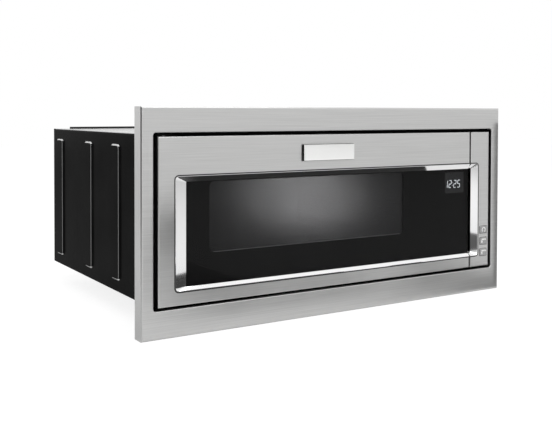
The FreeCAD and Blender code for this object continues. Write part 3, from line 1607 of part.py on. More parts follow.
def make_turntable_motor():
    """Flat geared motor under the cavity's floor, with a socket for the drive shaft."""
    top = UNDER_FLOOR
    low = top - D.motor_can_height
    ear = D.motor_can_radius + D.motor_ear
    half = D.motor_ear
    body = joined([
        rod("z", D.motor_can_radius, low, top, TABLE_X, TABLE_Y),
        block((TABLE_X - ear, TABLE_X + ear), (TABLE_Y - half, TABLE_Y + half), (top - D.clamp_sheet, top)),
    ])
    socket = rod("z", D.drive_radius + D.pin_play, top - D.drive_sink - D.roller_room, top, TABLE_X, TABLE_Y)
    name_piece("turntable_motor", cut(body, socket))


def make_turntable():
    """Drive shaft, three-lobed coupler and dished glass tray that turn together."""
    name_piece("drive_shaft", rod("z", D.drive_radius, UNDER_FLOOR - D.drive_sink, TABLE_LOW - D.lug_height,
                                  TABLE_X, TABLE_Y))
    coupler = Piece("turntable_coupler")
    low = CAVITY_LOW + D.coupler_lift
    coupler.pad("XY", low, TABLE_LOW, disc(0, 0, D.coupler_radius), at=(TABLE_X, TABLE_Y))
    half = D.coupler_lobe_width / 2
    lobe = coupler.pad(
        "XY", TABLE_LOW - 2 * D.lug_height, TABLE_LOW,
        rect(as_size(0), D.coupler_lobe, -half, half), at=(TABLE_X, TABLE_Y),
    )
    coupler.polar(lobe, 3)
    coupler.pocket("XY", low, TABLE_LOW - D.lug_height, disc(TABLE_X, TABLE_Y, D.drive_radius))

    tray = Piece("tray_dish", written=False)
    top = TABLE_LOW + D.table_thick
    rim = top + D.table_rim
    bowl = D.table_radius - D.table_slope
    tray.revolve(
        "XZ", TABLE_Y, (TABLE_X, 0),
        polygon((0, TABLE_LOW), (bowl, TABLE_LOW), (D.table_radius, rim - D.table_thick / 2),
                (D.table_radius, rim), (D.table_radius - D.table_thick, rim),
                (bowl - D.table_thick, top), (0, top)),
    )
    reach = D.coupler_lobe
    near = D.coupler_radius + D.axle_head
    lugs = []
    for index in range(3):
        angle = math.radians(60 + 120 * index)
        lug = block((near, reach), (-D.lug_width / 2, D.lug_width / 2), (TABLE_LOW - D.lug_height, TABLE_LOW))
        lug.Placement = FreeCAD.Placement(Vector(), Rotation(Vector(0, 0, 1), math.degrees(angle)))
        across = near * math.cos(angle) + D.lug_width / 2 * math.sin(angle)
        along = near * math.sin(angle) - D.lug_width / 2 * math.cos(angle)
        bind(lug, "Placement.Base.x", TABLE_X + across)
        bind(lug, "Placement.Base.y", TABLE_Y + along)
        bind(lug, "Placement.Base.z", TABLE_LOW - D.lug_height)
        lugs.append(lug)
    name_piece("glass_tray", joined([tray.body, *lugs]))


ROLLER_ORBIT = D.table_radius - D.roller_inset
RING_OUT = ROLLER_ORBIT - D.roller_width / 2 - D.ring_gap
AXLE_END = ROLLER_ORBIT + D.roller_width / 2 + D.roller_room


def spoke(item, start, angle):
    """Turn a shape about the turntable's axis, from a start radius on its own X axis."""
    item.Placement = FreeCAD.Placement(
        Vector(), Rotation(Vector(0, 0, 1), math.degrees(angle)).multiply(TURNS["x"])
    )
    bind(item, "Placement.Base.x", TABLE_X + start * math.cos(angle))
    bind(item, "Placement.Base.y", TABLE_Y + start * math.sin(angle))
    bind(item, "Placement.Base.z", ROLLER_Z)
    return item


def stub(radius, start, end, angle):
    """A cylinder that points out from the turntable's axis."""
    item = doc.addObject("Part::Cylinder", "stub")
    bind(item, "Radius", radius)
    bind(item, "Height", end - start)
    return spoke(item, start, angle)


def make_rollers():
    """Roller ring with three axles, and a roller on each."""
    half = D.ring_height / 2
    ring = cut(
        rod("z", RING_OUT, ROLLER_Z - half, ROLLER_Z + half, TABLE_X, TABLE_Y),
        rod("z", RING_OUT - D.ring_width, ROLLER_Z - half, ROLLER_Z + half, TABLE_X, TABLE_Y),
    )
    axles = []
    for index in range(3):
        angle = math.radians(90 + 120 * index)
        axles.append(stub(D.axle_radius, RING_OUT - D.ring_width / 2, AXLE_END + D.axle_head, angle))
        axles.append(stub(D.axle_radius + D.axle_head, AXLE_END, AXLE_END + D.axle_head, angle))
        inner = ROLLER_ORBIT - D.roller_width / 2
        outer = ROLLER_ORBIT + D.roller_width / 2
        wheel = cut(
            stub(D.roller_radius, inner, outer, angle),
            stub(D.axle_radius + D.axle_play, inner, outer, angle),
        )
        name_piece(f"roller_{index + 1}", wheel)
    name_piece("roller_ring", joined([ring, *axles]))


# interlock


def make_latch_board():
    """Moulded board behind the chassis plate, with a lip behind which each hook catches."""
    left = LATCH_X - D.hook_width - D.hook_room
    board = Piece("latch_board")
    half = D.board_length / 2
    board.pad("XZ", as_size(0), D.board_plate, rect(left, left + D.board_width, -half, half))
    board.pocket("XZ", as_size(0), D.board_plate, *[latch_slot(side) for side in (-1, 1)])
    hook_left, hook_right = hook_span()
    room = D.hook_room
    for side in (-1, 1):
        top = side * HOOK_HEIGHT - D.screen_room
        lip = rect(hook_left - room, hook_right + room, top - D.lip_height, top)
        board.pad("XZ", as_size(0), D.lip_depth, lip)


def make_switches():
    """Interlock switches on the latch board: two beside the upper hook, one beside the lower."""
    left = LATCH_X + D.hook_width / 2 + D.hook_room + D.screen_room
    low = D.board_plate
    switches = []
    for x, side in ((left, 1), (left + D.switch_width + D.screen_room, 1), (left, -1)):
        middle = side * HOOK_HEIGHT
        switches.append(
            block((x, x + D.switch_width), (low, low + D.switch_depth),
                  (middle - D.switch_height / 2, middle + D.switch_height / 2))
        )
    name_piece("interlock_switches", group(switches))


def make_screws():
    """Screws that hold the hinge plates, the trim clips and the rear panel."""
    screws = []
    for side in (-1, 1):
        edge = UNIT_HIGH if side > 0 else UNIT_LOW
        middle = edge + side * (D.hinge_gap + D.hinge_plate + D.hinge_flange / 2)
        seat = PLATE_FRONT - D.hinge_plate
        for across in (-1, 1):
            screws.append(rod("y", D.screw_head, seat - D.screw_head_height, seat,
                              HINGE_X + across * D.hinge_width / 4, middle))
        for height in (-1, 1):
            x = side * (FLANGE_X - D.clip_edge - D.clip_foot / 2)
            seat = PLATE_FRONT - D.clip_sheet
            foot = height * D.clip_height / 2
            screws.append(rod("y", D.screw_head, seat - D.screw_head_height, seat, x, foot))
            corner = side * (CASE_X - D.tray_wall)
            middle = CASE_HIGH - D.tray_wall if height > 0 else CASE_LOW + D.tray_wall / 2
            rear = (D.case_depth, D.case_depth + D.screw_head_height)
            screws.append(rod("y", D.screw_head, *rear, corner, middle))
    name_piece("chassis_screws", group(screws))


def write_parts():
    """Check every object and write each sub-part to its own file."""
    doc.recompute()
    failed = [item.Name for item in doc.Objects if {"Invalid", "Error"} & set(item.State)]
    if failed:
        raise ValueError(f"failed objects: {failed}")
    for label, item in PIECES.items():
        if item.Shape.isNull() or not item.Shape.isValid():
            raise ValueError(f"bad shape: {label}")
    os.makedirs("parts", exist_ok=True)
    for label, item in PIECES.items():
        item.Shape.exportStep(f"parts/{label}.step")


for make in (
    make_trim, make_trim_clips, make_front_plate,
    make_door_frame, make_door_bezel, make_door_glass, make_door_carrier, make_display, make_badge,
    make_choke, make_choke_cover, make_inner_pane, make_latch_housing, make_latch_key, make_latch_spring,
    make_hinges,
    make_column_skin, make_finger_pocket, make_keys, make_key_board, make_column_carrier,
    make_case_wrapper, make_base_plate, make_back_panel, make_cord_gland,
    make_cavity, make_mica_cover, make_waveguide, make_magnetron, make_transformer, make_capacitor,
    make_diode, make_control_board, make_filter_board,
    make_fan_shroud, make_fan_motor, make_fan,
    make_lamp, make_exhaust_duct, make_cutouts,
    make_turntable_motor, make_turntable, make_rollers,
    make_latch_board, make_switches, make_screws,
):
    make()
write_parts()
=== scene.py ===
import json
import math

import bpy
from mathutils import Matrix, Vector


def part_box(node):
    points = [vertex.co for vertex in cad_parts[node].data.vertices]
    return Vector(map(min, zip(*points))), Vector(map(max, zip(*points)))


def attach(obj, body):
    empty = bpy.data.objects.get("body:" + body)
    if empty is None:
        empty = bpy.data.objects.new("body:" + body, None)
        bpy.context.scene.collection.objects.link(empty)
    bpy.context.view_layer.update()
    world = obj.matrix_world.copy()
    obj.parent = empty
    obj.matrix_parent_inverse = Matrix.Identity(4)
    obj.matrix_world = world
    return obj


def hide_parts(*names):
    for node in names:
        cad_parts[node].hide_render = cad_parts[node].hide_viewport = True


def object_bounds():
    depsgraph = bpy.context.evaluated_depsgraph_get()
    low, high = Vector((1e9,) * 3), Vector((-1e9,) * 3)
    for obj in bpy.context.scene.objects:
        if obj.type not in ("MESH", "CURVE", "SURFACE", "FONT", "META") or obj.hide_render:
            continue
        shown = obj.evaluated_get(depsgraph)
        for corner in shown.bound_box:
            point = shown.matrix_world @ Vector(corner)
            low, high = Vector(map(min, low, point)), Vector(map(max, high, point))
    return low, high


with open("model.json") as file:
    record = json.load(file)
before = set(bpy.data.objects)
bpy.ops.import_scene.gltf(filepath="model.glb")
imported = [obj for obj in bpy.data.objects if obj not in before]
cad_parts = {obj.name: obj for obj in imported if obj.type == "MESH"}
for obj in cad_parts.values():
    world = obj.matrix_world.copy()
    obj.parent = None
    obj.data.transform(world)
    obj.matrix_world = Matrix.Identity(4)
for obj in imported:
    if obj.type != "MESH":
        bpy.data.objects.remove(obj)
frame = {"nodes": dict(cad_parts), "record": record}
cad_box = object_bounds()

# lengths are in millimetres, and those of the studio in metres

MM = 0.001
NODES = frame["nodes"]


# hand tools

FACING_FRONT = (math.pi / 2, 0, 0)
SMOOTH_BELOW = math.radians(35)
BEVEL_ABOVE = math.radians(40)
BEVEL_STEPS = 2
CORNER_STEPS = 4
LOOP_STEPS = 6
MERGE_WITHIN = 0.001
SAME_PLACE = 0.01


def node_box(node):
    """A CAD node's lowest and highest corners."""
    low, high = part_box(node)
    return low / MM, high / MM


def clear_selection():
    """Leave nothing selected and no piece active."""
    bpy.ops.object.select_all(action="DESELECT")
    bpy.context.view_layer.objects.active = None


def take(piece):
    """Select one piece alone."""
    clear_selection()
    piece.select_set(True)
    bpy.context.view_layer.objects.active = piece


def set_in_place(piece, name):
    """Name a new primitive and put its place, turn and size into its mesh."""
    piece.name = name
    piece.data.name = name
    bpy.ops.object.transform_apply(location=True, rotation=True, scale=True)
    return piece


def block(name, low, high):
    """A block between two corners, as the start of a piece."""
    low, high = Vector(low) * MM, Vector(high) * MM
    clear_selection()
    bpy.ops.mesh.primitive_cube_add(size=1, location=(low + high) / 2, scale=high - low)
    return set_in_place(bpy.context.object, name)


def round_bar(name, centre, radius, length, sides):
    """A round bar along Y, as the start of a piece."""
    clear_selection()
    bpy.ops.mesh.primitive_cylinder_add(
        vertices=sides, radius=radius * MM, depth=length * MM,
        location=Vector(centre) * MM, rotation=FACING_FRONT,
    )
    return set_in_place(bpy.context.object, name)


def pick(piece, faces=None, edges=None):
    """Enter edit mode with the faces or edges that pass a test selected."""
    take(piece)
    mesh = piece.data
    for part in (mesh.vertices, mesh.edges, mesh.polygons):
        part.foreach_set("select", [False] * len(part))
    if faces:
        for face in mesh.polygons:
            face.select = faces(face.center / MM, face.normal)
    if edges:
        for edge in mesh.edges:
            ends = [mesh.vertices[index].co / MM for index in edge.vertices]
            edge.select = edges(*ends)
    bpy.ops.object.mode_set(mode="EDIT")
    bpy.ops.mesh.select_mode(type="FACE" if faces else "EDGE")


def done():
    """Leave edit mode."""
    bpy.ops.object.mode_set(mode="OBJECT")


def every_face(centre, normal):
    """A test that every face passes."""
    return True


def runs_along_y(start, end):
    """A test for the edges that run along Y."""
    return abs(start.x - end.x) + abs(start.z - end.z) < SAME_PLACE


def lies_at(y):
    """A test for the edges of a flat end at one place along Y."""
    return lambda start, end: max(abs(start.y - y), abs(end.y - y)) < SAME_PLACE


def bevel_edges(piece, test, width, steps):
    """Bevel the edges that pass a test."""
    pick(piece, edges=test)
    bpy.ops.mesh.bevel(offset=width * MM, segments=steps, affect="EDGES")
    done()


def merge_corners(piece):
    """Merge a piece's corners that lie at one place."""
    pick(piece, faces=every_face)
    bpy.ops.mesh.remove_doubles(threshold=MERGE_WITHIN * MM)
    done()


def rounded_loop(left, right, low, high, corner, steps=LOOP_STEPS):
    """Points of a rectangle with round corners, anticlockwise."""
    points = []
    centres = ((right - corner, low + corner), (right - corner, high - corner),
               (left + corner, high - corner), (left + corner, low + corner))
    for quarter, (x, z) in enumerate(centres):
        for step in range(steps + 1):
            angle = math.pi / 2 * (quarter - 1 + step / steps)
            points.append((x + corner * math.cos(angle), z + corner * math.sin(angle)))
    return points


def cut_sheet(name, front, back, *loops):
    """A flat sheet with openings, filled between loops of points in X and Z."""
    curve = bpy.data.curves.new(name, "CURVE")
    curve.dimensions = "2D"
    curve.fill_mode = "BOTH"
    curve.extrude = (back - front) / 2 * MM
    for points in loops:
        spline = curve.splines.new("POLY")
        spline.points.add(len(points) - 1)
        for point, (x, z) in zip(spline.points, points):
            point.co = (x * MM, z * MM, 0, 1)
        spline.use_cyclic_u = True
    sheet = bpy.data.objects.new(name, curve)
    bpy.context.scene.collection.objects.link(sheet)
    sheet.rotation_euler = FACING_FRONT
    sheet.location = (0, (front + back) / 2 * MM, 0)
    take(sheet)
    bpy.ops.object.convert(target="MESH")
    sheet = set_in_place(bpy.context.object, name)
    merge_corners(sheet)
    return sheet


def apply_modifier(piece, kind, **settings):
    """Add a modifier with its settings and apply it."""
    take(piece)
    modifier = piece.modifiers.new(kind, kind)
    for label, value in settings.items():
        setattr(modifier, label, value)
    bpy.ops.object.modifier_apply(modifier=modifier.name)


def shade_smooth(piece):
    """Shade a piece smooth but for its sharp edges."""
    take(piece)
    bpy.ops.object.shade_smooth_by_angle(angle=SMOOTH_BELOW)


def soften(piece, width):
    """Round a piece's sharp edges."""
    apply_modifier(piece, "BEVEL", width=width * MM, segments=BEVEL_STEPS, limit_method="ANGLE",
                   angle_limit=BEVEL_ABOVE)
    shade_smooth(piece)


def combine(piece, tool, operation):
    """Cut a tool's shape out of a piece or add it, and remove the tool."""
    apply_modifier(piece, "BOOLEAN", operation=operation, object=tool, solver="EXACT")
    bpy.data.objects.remove(tool)


def copy_piece(piece, name, move=(0, 0, 0)):
    """A moved copy with its own mesh."""
    twin = piece.copy()
    twin.data = piece.data.copy()
    twin.name = name
    bpy.context.scene.collection.objects.link(twin)
    twin.data.transform(Matrix.Translation(Vector(move) * MM))
    return twin


def copy_node(node, name):
    """A free copy of a CAD node, with its corners merged."""
    twin = copy_piece(NODES[node], name)
    twin.parent = None
    merge_corners(twin)
    return twin


def join(pieces, name):
    """Join pieces into one."""
    take(pieces[0])
    for piece in pieces:
        piece.select_set(True)
    bpy.ops.object.join()
    pieces[0].name = name
    pieces[0].data.name = name
    return pieces[0]


def fit_out(piece, body, slot, finish, *stands_for):
    """Give a finished piece its material and its body. The slot it is given is not used."""
    piece.data.materials.clear()
    piece.data.materials.append(finish)
    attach(piece, body)
    if stands_for:
        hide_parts(*stands_for)
    return piece


# shader nodes


def reckon(tree, operation, *values):
    """A value that a math node works out from numbers and other nodes' outputs."""
    node = tree.nodes.new("ShaderNodeMath")
    node.operation = operation
    for value, socket in zip(values, node.inputs):
        if isinstance(value, bpy.types.NodeSocket):
            tree.links.new(value, socket)
        else:
            socket.default_value = value
    return node.outputs["Value"]


def remap(tree, value, start, end, curve="LINEAR"):
    """A value carried from one range onto another and held at its ends."""
    node = tree.nodes.new("ShaderNodeMapRange")
    node.interpolation_type = curve
    for label, limit in zip(("From Min", "From Max", "To Min", "To Max"), (*start, *end)):
        node.inputs[label].default_value = limit
    tree.links.new(value, node.inputs["Value"])
    return node.outputs["Result"]


def place_on_piece(tree):
    """Where a point lies on its piece."""
    return tree.nodes.new("ShaderNodeTexCoord").outputs["Object"]


def axes_on_piece(tree):
    """Where a point lies on its piece, as three numbers."""
    split = tree.nodes.new("ShaderNodeSeparateXYZ")
    tree.links.new(place_on_piece(tree), split.inputs["Vector"])
    return split.outputs


def noise(tree, place, scale, detail):
    """A noise value at a place. The scale is another node's output."""
    node = tree.nodes.new("ShaderNodeTexNoise")
    node.inputs["Detail"].default_value = detail
    tree.links.new(place, node.inputs["Vector"])
    tree.links.new(scale, node.inputs["Scale"])
    return node.outputs["Fac"]


def sight_rays(tree):
    """Two values: whether a ray comes from the eye, also through glass, and whether from a reflection."""
    rays = tree.nodes.new("ShaderNodeLightPath").outputs
    seen = reckon(tree, "MAXIMUM", rays["Is Camera Ray"], rays["Is Transmission Ray"])
    return seen, rays["Is Glossy Ray"]


# shader node groups

STREAK_ALONG = 9.0
STREAK_ACROSS = 1500.0
STREAK_DETAIL = 6.0
CLOUD_SCALE = 14.0
CLOUD_DETAIL = 3.0
PEBBLE_SCALE = 1600.0
PEBBLE_DETAIL = 2.0
PATCH_SCALE = 12.0
PATCH_DETAIL = 4.0
FLAKE_SCALE = 160.0
# where the case's ribs get their painted highlights, and the skin of its top
RIB_BEND = 0.8
RIB_BEND_REACH = 0.35
RIB_SLOPE = 1.7
RIB_SLOPE_REACH = 1.1
RIB_END = 23.0
LID_SKIN = 0.7


def make_group(name, inputs, outputs):
    """An empty shader group with named value inputs and outputs; returns it and the sockets inside it."""
    tree = bpy.data.node_groups.new(name, "ShaderNodeTree")
    for label, value in inputs.items():
        socket = tree.interface.new_socket(label, in_out="INPUT", socket_type="NodeSocketFloat")
        socket.default_value = value
    for label in outputs:
        tree.interface.new_socket(label, in_out="OUTPUT", socket_type="NodeSocketFloat")
    return tree, tree.nodes.new("NodeGroupInput").outputs, tree.nodes.new("NodeGroupOutput").inputs


def streaks_group():
    """Long fine streaks along X, as left by a belt on sheet steel, and slow clouds across them."""
    tree, ins, outs = make_group(
        "belt_streaks",
        {"Along": STREAK_ALONG, "Across": STREAK_ACROSS, "Cloud Scale": CLOUD_SCALE},
        ("Tone", "Cloud"),
    )
    place = place_on_piece(tree)
    stretch = tree.nodes.new("ShaderNodeCombineXYZ")
    for axis, label in (("X", "Along"), ("Y", "Across"), ("Z", "Across")):
        tree.links.new(ins[label], stretch.inputs[axis])
    stretched = tree.nodes.new("ShaderNodeVectorMath")
    stretched.operation = "MULTIPLY"
    tree.links.new(place, stretched.inputs[0])
    tree.links.new(stretch.outputs["Vector"], stretched.inputs[1])
    streaks = tree.nodes.new("ShaderNodeTexNoise")
    streaks.inputs["Scale"].default_value = 1.0
    streaks.inputs["Detail"].default_value = STREAK_DETAIL
    tree.links.new(stretched.outputs["Vector"], streaks.inputs["Vector"])
    tree.links.new(streaks.outputs["Fac"], outs["Tone"])
    tree.links.new(noise(tree, place, ins["Cloud Scale"], CLOUD_DETAIL), outs["Cloud"])
    return tree


def grain_group():
    """The fine pebble of moulded plastic or powder paint, and slow patches of handling."""
    tree, ins, outs = make_group(
        "moulded_grain", {"Pebble": PEBBLE_SCALE, "Patch": PATCH_SCALE}, ("Height", "Patches")
    )
    place = place_on_piece(tree)
    tree.links.new(noise(tree, place, ins["Pebble"], PEBBLE_DETAIL), outs["Height"])
    tree.links.new(noise(tree, place, ins["Patch"], PATCH_DETAIL), outs["Patches"])
    return tree


def spangle_group():
    """The crystal flakes of zinc-coated sheet."""
    tree, ins, outs = make_group("zinc_spangle", {"Flake": FLAKE_SCALE}, ("Tone",))
    cells = tree.nodes.new("ShaderNodeTexVoronoi")
    shade = tree.nodes.new("ShaderNodeSeparateColor")
    tree.links.new(place_on_piece(tree), cells.inputs["Vector"])
    tree.links.new(ins["Flake"], cells.inputs["Scale"])
    tree.links.new(cells.outputs["Color"], shade.inputs["Color"])
    tree.links.new(shade.outputs["Red"], outs["Tone"])
    return tree


def rib_highlights_and_lid_group():
    """Masks for the case: the bend along each pressed rib and the ribs' sloped ends, where highlights are
    painted, and the case's top.
    """
    low, high = node_box("case_wrapper")
    middle = (low.z + high.z) / 2
    places = {
        "Bend": high.x - RIB_BEND, "Bend Reach": RIB_BEND_REACH,
        "Slope": high.x - RIB_SLOPE, "Slope Reach": RIB_SLOPE_REACH,
        "Middle": middle, "End": high.z - middle - RIB_END, "Lid": high.z - LID_SKIN,
    }
    tree, ins, outs = make_group(
        "rib_highlights_and_lid", {label: value * MM for label, value in places.items()}, ("Bends", "Ends", "Top")
    )
    axes = axes_on_piece(tree)
    side = reckon(tree, "ABSOLUTE", axes["X"])
    height = reckon(tree, "ABSOLUTE", reckon(tree, "SUBTRACT", axes["Z"], ins["Middle"]))
    slope = reckon(tree, "COMPARE", side, ins["Slope"], ins["Slope Reach"])
    near_end = reckon(tree, "GREATER_THAN", height, ins["End"])
    tree.links.new(reckon(tree, "COMPARE", side, ins["Bend"], ins["Bend Reach"]), outs["Bends"])
    tree.links.new(reckon(tree, "MULTIPLY", slope, near_end), outs["Ends"])
    tree.links.new(reckon(tree, "GREATER_THAN", axes["Z"], ins["Lid"]), outs["Top"])
    return tree


STREAKS = streaks_group()
GRAIN = grain_group()
SPANGLE = spangle_group()
RIB_HIGHLIGHTS_AND_LID = rib_highlights_and_lid_group()


# materials

MIDDLE_RANGE = (0.3, 0.7)
STREAK_RELIEF = 0.05
STREAK_DEPTH = 0.1
MOULDED_RELIEF = 0.1
PAINT_RELIEF = 0.12
PEBBLE_DEPTH = 0.2
PLAIN_SHINE = 0.5
DULL_SHINE = 0.03
PANE_PATCH = 9.0
SEGMENT_PATCH = 400.0


def grey(tone):
    """A neutral colour."""
    return tone, tone, tone


class Finish:
    """A material around one Principled shader."""

    def __init__(self, name, sockets):
        self.material = bpy.data.materials.new(name)
        self.material.use_nodes = True
        self.tree = self.material.node_tree
        self.shader = self.tree.nodes["Principled BSDF"]
        for label, value in sockets.items():
            self.shader.inputs[label].default_value = value

    def wire(self, label, output):
        """Lead an output to one of the shader's sockets."""
        self.tree.links.new(output, self.shader.inputs[label])

    def group(self, tree, **values):
        """The outputs of a node group placed here with its own values."""
        node = self.tree.nodes.new("ShaderNodeGroup")
        node.node_tree = tree
        for label, value in values.items():
            node.inputs[label].default_value = value
        return node.outputs

    def spread(self, output, low, high):
        """A value spread from its middle range onto low to high."""
        return remap(self.tree, output, MIDDLE_RANGE, (low, high))

    def blend(self, share, first, second):
        """A colour between two, by a share from 0 to 1. Each is a colour or another node's output."""
        node = self.tree.nodes.new("ShaderNodeMix")
        node.data_type = "RGBA"
        ends = [socket for socket in node.inputs if socket.type == "RGBA"]
        for socket, colour in zip(ends, (first, second)):
            if isinstance(colour, tuple):
                socket.default_value = (*colour, 1)
            else:
                self.tree.links.new(colour, socket)
        self.tree.links.new(share, node.inputs[0])
        return [socket for socket in node.outputs if socket.type == "RGBA"][0]

    def tint(self, output, dark, light):
        """A colour between two, by a value's middle range."""
        return self.blend(self.spread(output, 0, 1), dark, light)

    def relief(self, output, strength, depth):
        """A bump from a height value."""
        node = self.tree.nodes.new("ShaderNodeBump")
        node.inputs["Strength"].default_value = strength
        node.inputs["Distance"].default_value = depth * MM
        self.tree.links.new(output, node.inputs["Height"])
        self.wire("Normal", node.outputs["Normal"])


def belt_steel(name, dark, light, rough):
    """Belt-ground stainless sheet with its streaks along X."""
    finish = Finish(name, {"Metallic": 1.0, "Anisotropic": 0.6, "Anisotropic Rotation": 0.25})
    streaks = finish.group(STREAKS)
    finish.wire("Base Color", finish.tint(streaks["Tone"], dark, light))
    finish.wire("Roughness", finish.spread(streaks["Cloud"], *rough))
    finish.relief(streaks["Tone"], STREAK_RELIEF, STREAK_DEPTH)
    return finish.material


def moulded(name, dark, light, rough, relief=MOULDED_RELIEF, pebble=PEBBLE_SCALE, metallic=0.0,
            shine=PLAIN_SHINE):
    """Moulded plastic, powder paint or plain metal, with a fine pebble where it has relief."""
    finish = Finish(name, {"Metallic": metallic, "Specular IOR Level": shine})
    grain = finish.group(GRAIN, Pebble=pebble)
    finish.wire("Base Color", finish.tint(grain["Patches"], dark, light))
    finish.wire("Roughness", finish.spread(grain["Patches"], *rough))
    if relief:
        finish.relief(grain["Height"], relief, PEBBLE_DEPTH)
    return finish.material


def case_paint(name, dark, light, rough, bend_highlight=None, end_highlight=None):
    """Black powder paint. On the case it carries painted highlights, pale along the ribs' bends and near
    white at their ends, and a clear coat on its top.
    """
    finish = Finish(name, {"Specular IOR Level": 0.005, "Coat Roughness": 0.2})
    grain = finish.group(GRAIN)
    paint = finish.tint(grain["Patches"], dark, light)
    if bend_highlight:
        rib_masks = finish.group(RIB_HIGHLIGHTS_AND_LID)
        # painted highlights: the ribs' bends paler and their ends near white, where light catches them
        paint = finish.blend(rib_masks["Bends"], paint, bend_highlight)
        paint = finish.blend(rib_masks["Ends"], paint, end_highlight)
        finish.wire("Coat Weight", rib_masks["Top"])
    finish.wire("Base Color", paint)
    finish.wire("Roughness", finish.spread(grain["Patches"], *rough))
    finish.relief(grain["Height"], PAINT_RELIEF, PEBBLE_DEPTH)
    return finish.material


def zinc_sheet(name, dark, light, rough):
    """Zinc-coated steel sheet."""
    finish = Finish(name, {"Metallic": 1.0})
    finish.wire("Base Color", finish.tint(finish.group(SPANGLE)["Tone"], dark, light))
    finish.wire("Roughness", finish.spread(finish.group(GRAIN)["Patches"], *rough))
    return finish.material


def pane(name, colour, rough, ior):
    """Flat glass with faint handling marks. A low index stands for an anti-reflection coating."""
    finish = Finish(name, {"Base Color": (*colour, 1), "Transmission Weight": 1.0, "IOR": ior})
    patches = finish.group(GRAIN, Patch=PANE_PATCH)["Patches"]
    finish.wire("Roughness", finish.spread(patches, *rough))
    return finish.material


def lit_segments(name, colour, dim, bright, strength):
    """The clock's glowing segments."""
    finish = Finish(name, {"Base Color": (*colour, 1), "Emission Strength": strength})
    patches = finish.group(GRAIN, Patch=SEGMENT_PATCH)["Patches"]
    finish.wire("Emission Color", finish.tint(patches, dim, bright))
    return finish.material


CASE_BLACK = (grey(0.005), grey(0.009))
CASE_ROUGH = (0.14, 0.22)
FINISHES = {
    "stainless": belt_steel("belt_ground_stainless", (0.55, 0.55, 0.545), (0.65, 0.65, 0.645),
                            (0.31, 0.35)),
    "chrome": moulded("polished_chrome", grey(0.90), grey(0.94), (0.035, 0.07), relief=0.0, metallic=1.0),
    "black_glass": pane("smoked_door_glass", (0.36, 0.36, 0.365), (0.0, 0.02), ior=1.16),
    "clear_glass": pane("clear_glass", (0.93, 0.95, 0.94), (0.0, 0.03), ior=1.5),
    "black_paint": case_paint("black_sheet_paint", *CASE_BLACK, CASE_ROUGH),
    "galvanised": zinc_sheet("zinc_coated_sheet", (0.42, 0.43, 0.44), (0.62, 0.63, 0.64), (0.30, 0.45)),
    "cavity_enamel": moulded("grey_oven_enamel", (0.44, 0.44, 0.42), (0.52, 0.52, 0.50), (0.36, 0.46),
                             relief=0.02),
    "screen_steel": moulded("black_screen_enamel", grey(0.014), grey(0.024), (0.17, 0.19), relief=0.0),
    "black_plastic": moulded("black_moulding", grey(0.012), grey(0.022), (0.45, 0.60)),
    "grey_plastic": moulded("grey_moulding", grey(0.24), grey(0.31), (0.45, 0.60)),
    "white_plastic": moulded("natural_nylon", (0.66, 0.65, 0.60), (0.76, 0.75, 0.71), (0.40, 0.55)),
    "key_plastic": moulded("silver_key_moulding", grey(0.36), grey(0.44), (0.20, 0.28), relief=0.02,
                           metallic=0.8),
    "display": moulded("display_moulding", (0.016, 0.016, 0.017), (0.024, 0.024, 0.025), (0.25, 0.35),
                       relief=0.02),
    "circuit_board": moulded("green_laminate", (0.03, 0.14, 0.06), (0.05, 0.22, 0.10), (0.35, 0.50)),
    "mica": moulded("mica_sheet", (0.46, 0.42, 0.34), (0.62, 0.58, 0.50), (0.35, 0.55), relief=0.15,
                    pebble=500.0),
    "copper": moulded("enamelled_copper", (0.38, 0.16, 0.07), (0.55, 0.28, 0.14), (0.25, 0.40),
                      relief=0.05, metallic=1.0),
    "aluminium": moulded("plain_aluminium", (0.56, 0.56, 0.57), (0.70, 0.70, 0.71), (0.32, 0.45),
                         relief=0.04, metallic=1.0),
    "steel": moulded("zinc_plated_steel", (0.44, 0.44, 0.45), (0.60, 0.60, 0.61), (0.22, 0.36),
                     relief=0.03, metallic=1.0),
    "rubber": moulded("black_rubber", grey(0.012), grey(0.020), (0.60, 0.75), relief=0.2),
}
SEGMENTS = lit_segments("clock_segments", (0.80, 0.85, 0.90), (0.75, 0.80, 0.85), (0.95, 0.98, 1.0), 1.3)
# white for the highlights painted on the keys
KEY_HIGHLIGHT = moulded("white_key_highlight", (0.86, 0.86, 0.85), (0.93, 0.93, 0.92), (0.35, 0.45), relief=0.02)
# the case's paint, with highlights painted along the ribs' bends and at their ends
RIBBED_CASE = case_paint("ribbed_case_paint", *CASE_BLACK, CASE_ROUGH, bend_highlight=grey(0.26), end_highlight=grey(0.80))
SATIN_BLACK = moulded("satin_black_paint", grey(0.010), grey(0.018), (0.34, 0.46), relief=0.08)
BLACK_ZINC = zinc_sheet("black_zinc_clip", grey(0.008), grey(0.016), (0.50, 0.65))
BLACK_OXIDE = moulded("black_oxide_steel", (0.020, 0.020, 0.021), (0.036, 0.036, 0.037), (0.30, 0.42),
                      relief=0.03, metallic=1.0)
BADGE_SATIN = moulded("satin_badge_face", (0.92, 0.92, 0.91), (0.95, 0.95, 0.94), (0.42, 0.52),
                      relief=0.03, metallic=0.7)
BADGE_SIDE = moulded("black_badge_side", grey(0.002), grey(0.004), (0.50, 0.62), shine=DULL_SHINE)
GLASS_PRINT = moulded("black_glass_print", grey(0.018), grey(0.022), (0.50, 0.60), relief=0.0,
                      shine=DULL_SHINE)
SMOKED_FILM = moulded("smoked_clock_film", (0.060, 0.060, 0.061), (0.070, 0.070, 0.071), (0.50, 0.60),
                      relief=0.0, shine=DULL_SHINE)
OWN_FINISHES = {"trim_clips": BLACK_ZINC, "case_wrapper": RIBBED_CASE, "back_panel": SATIN_BLACK}


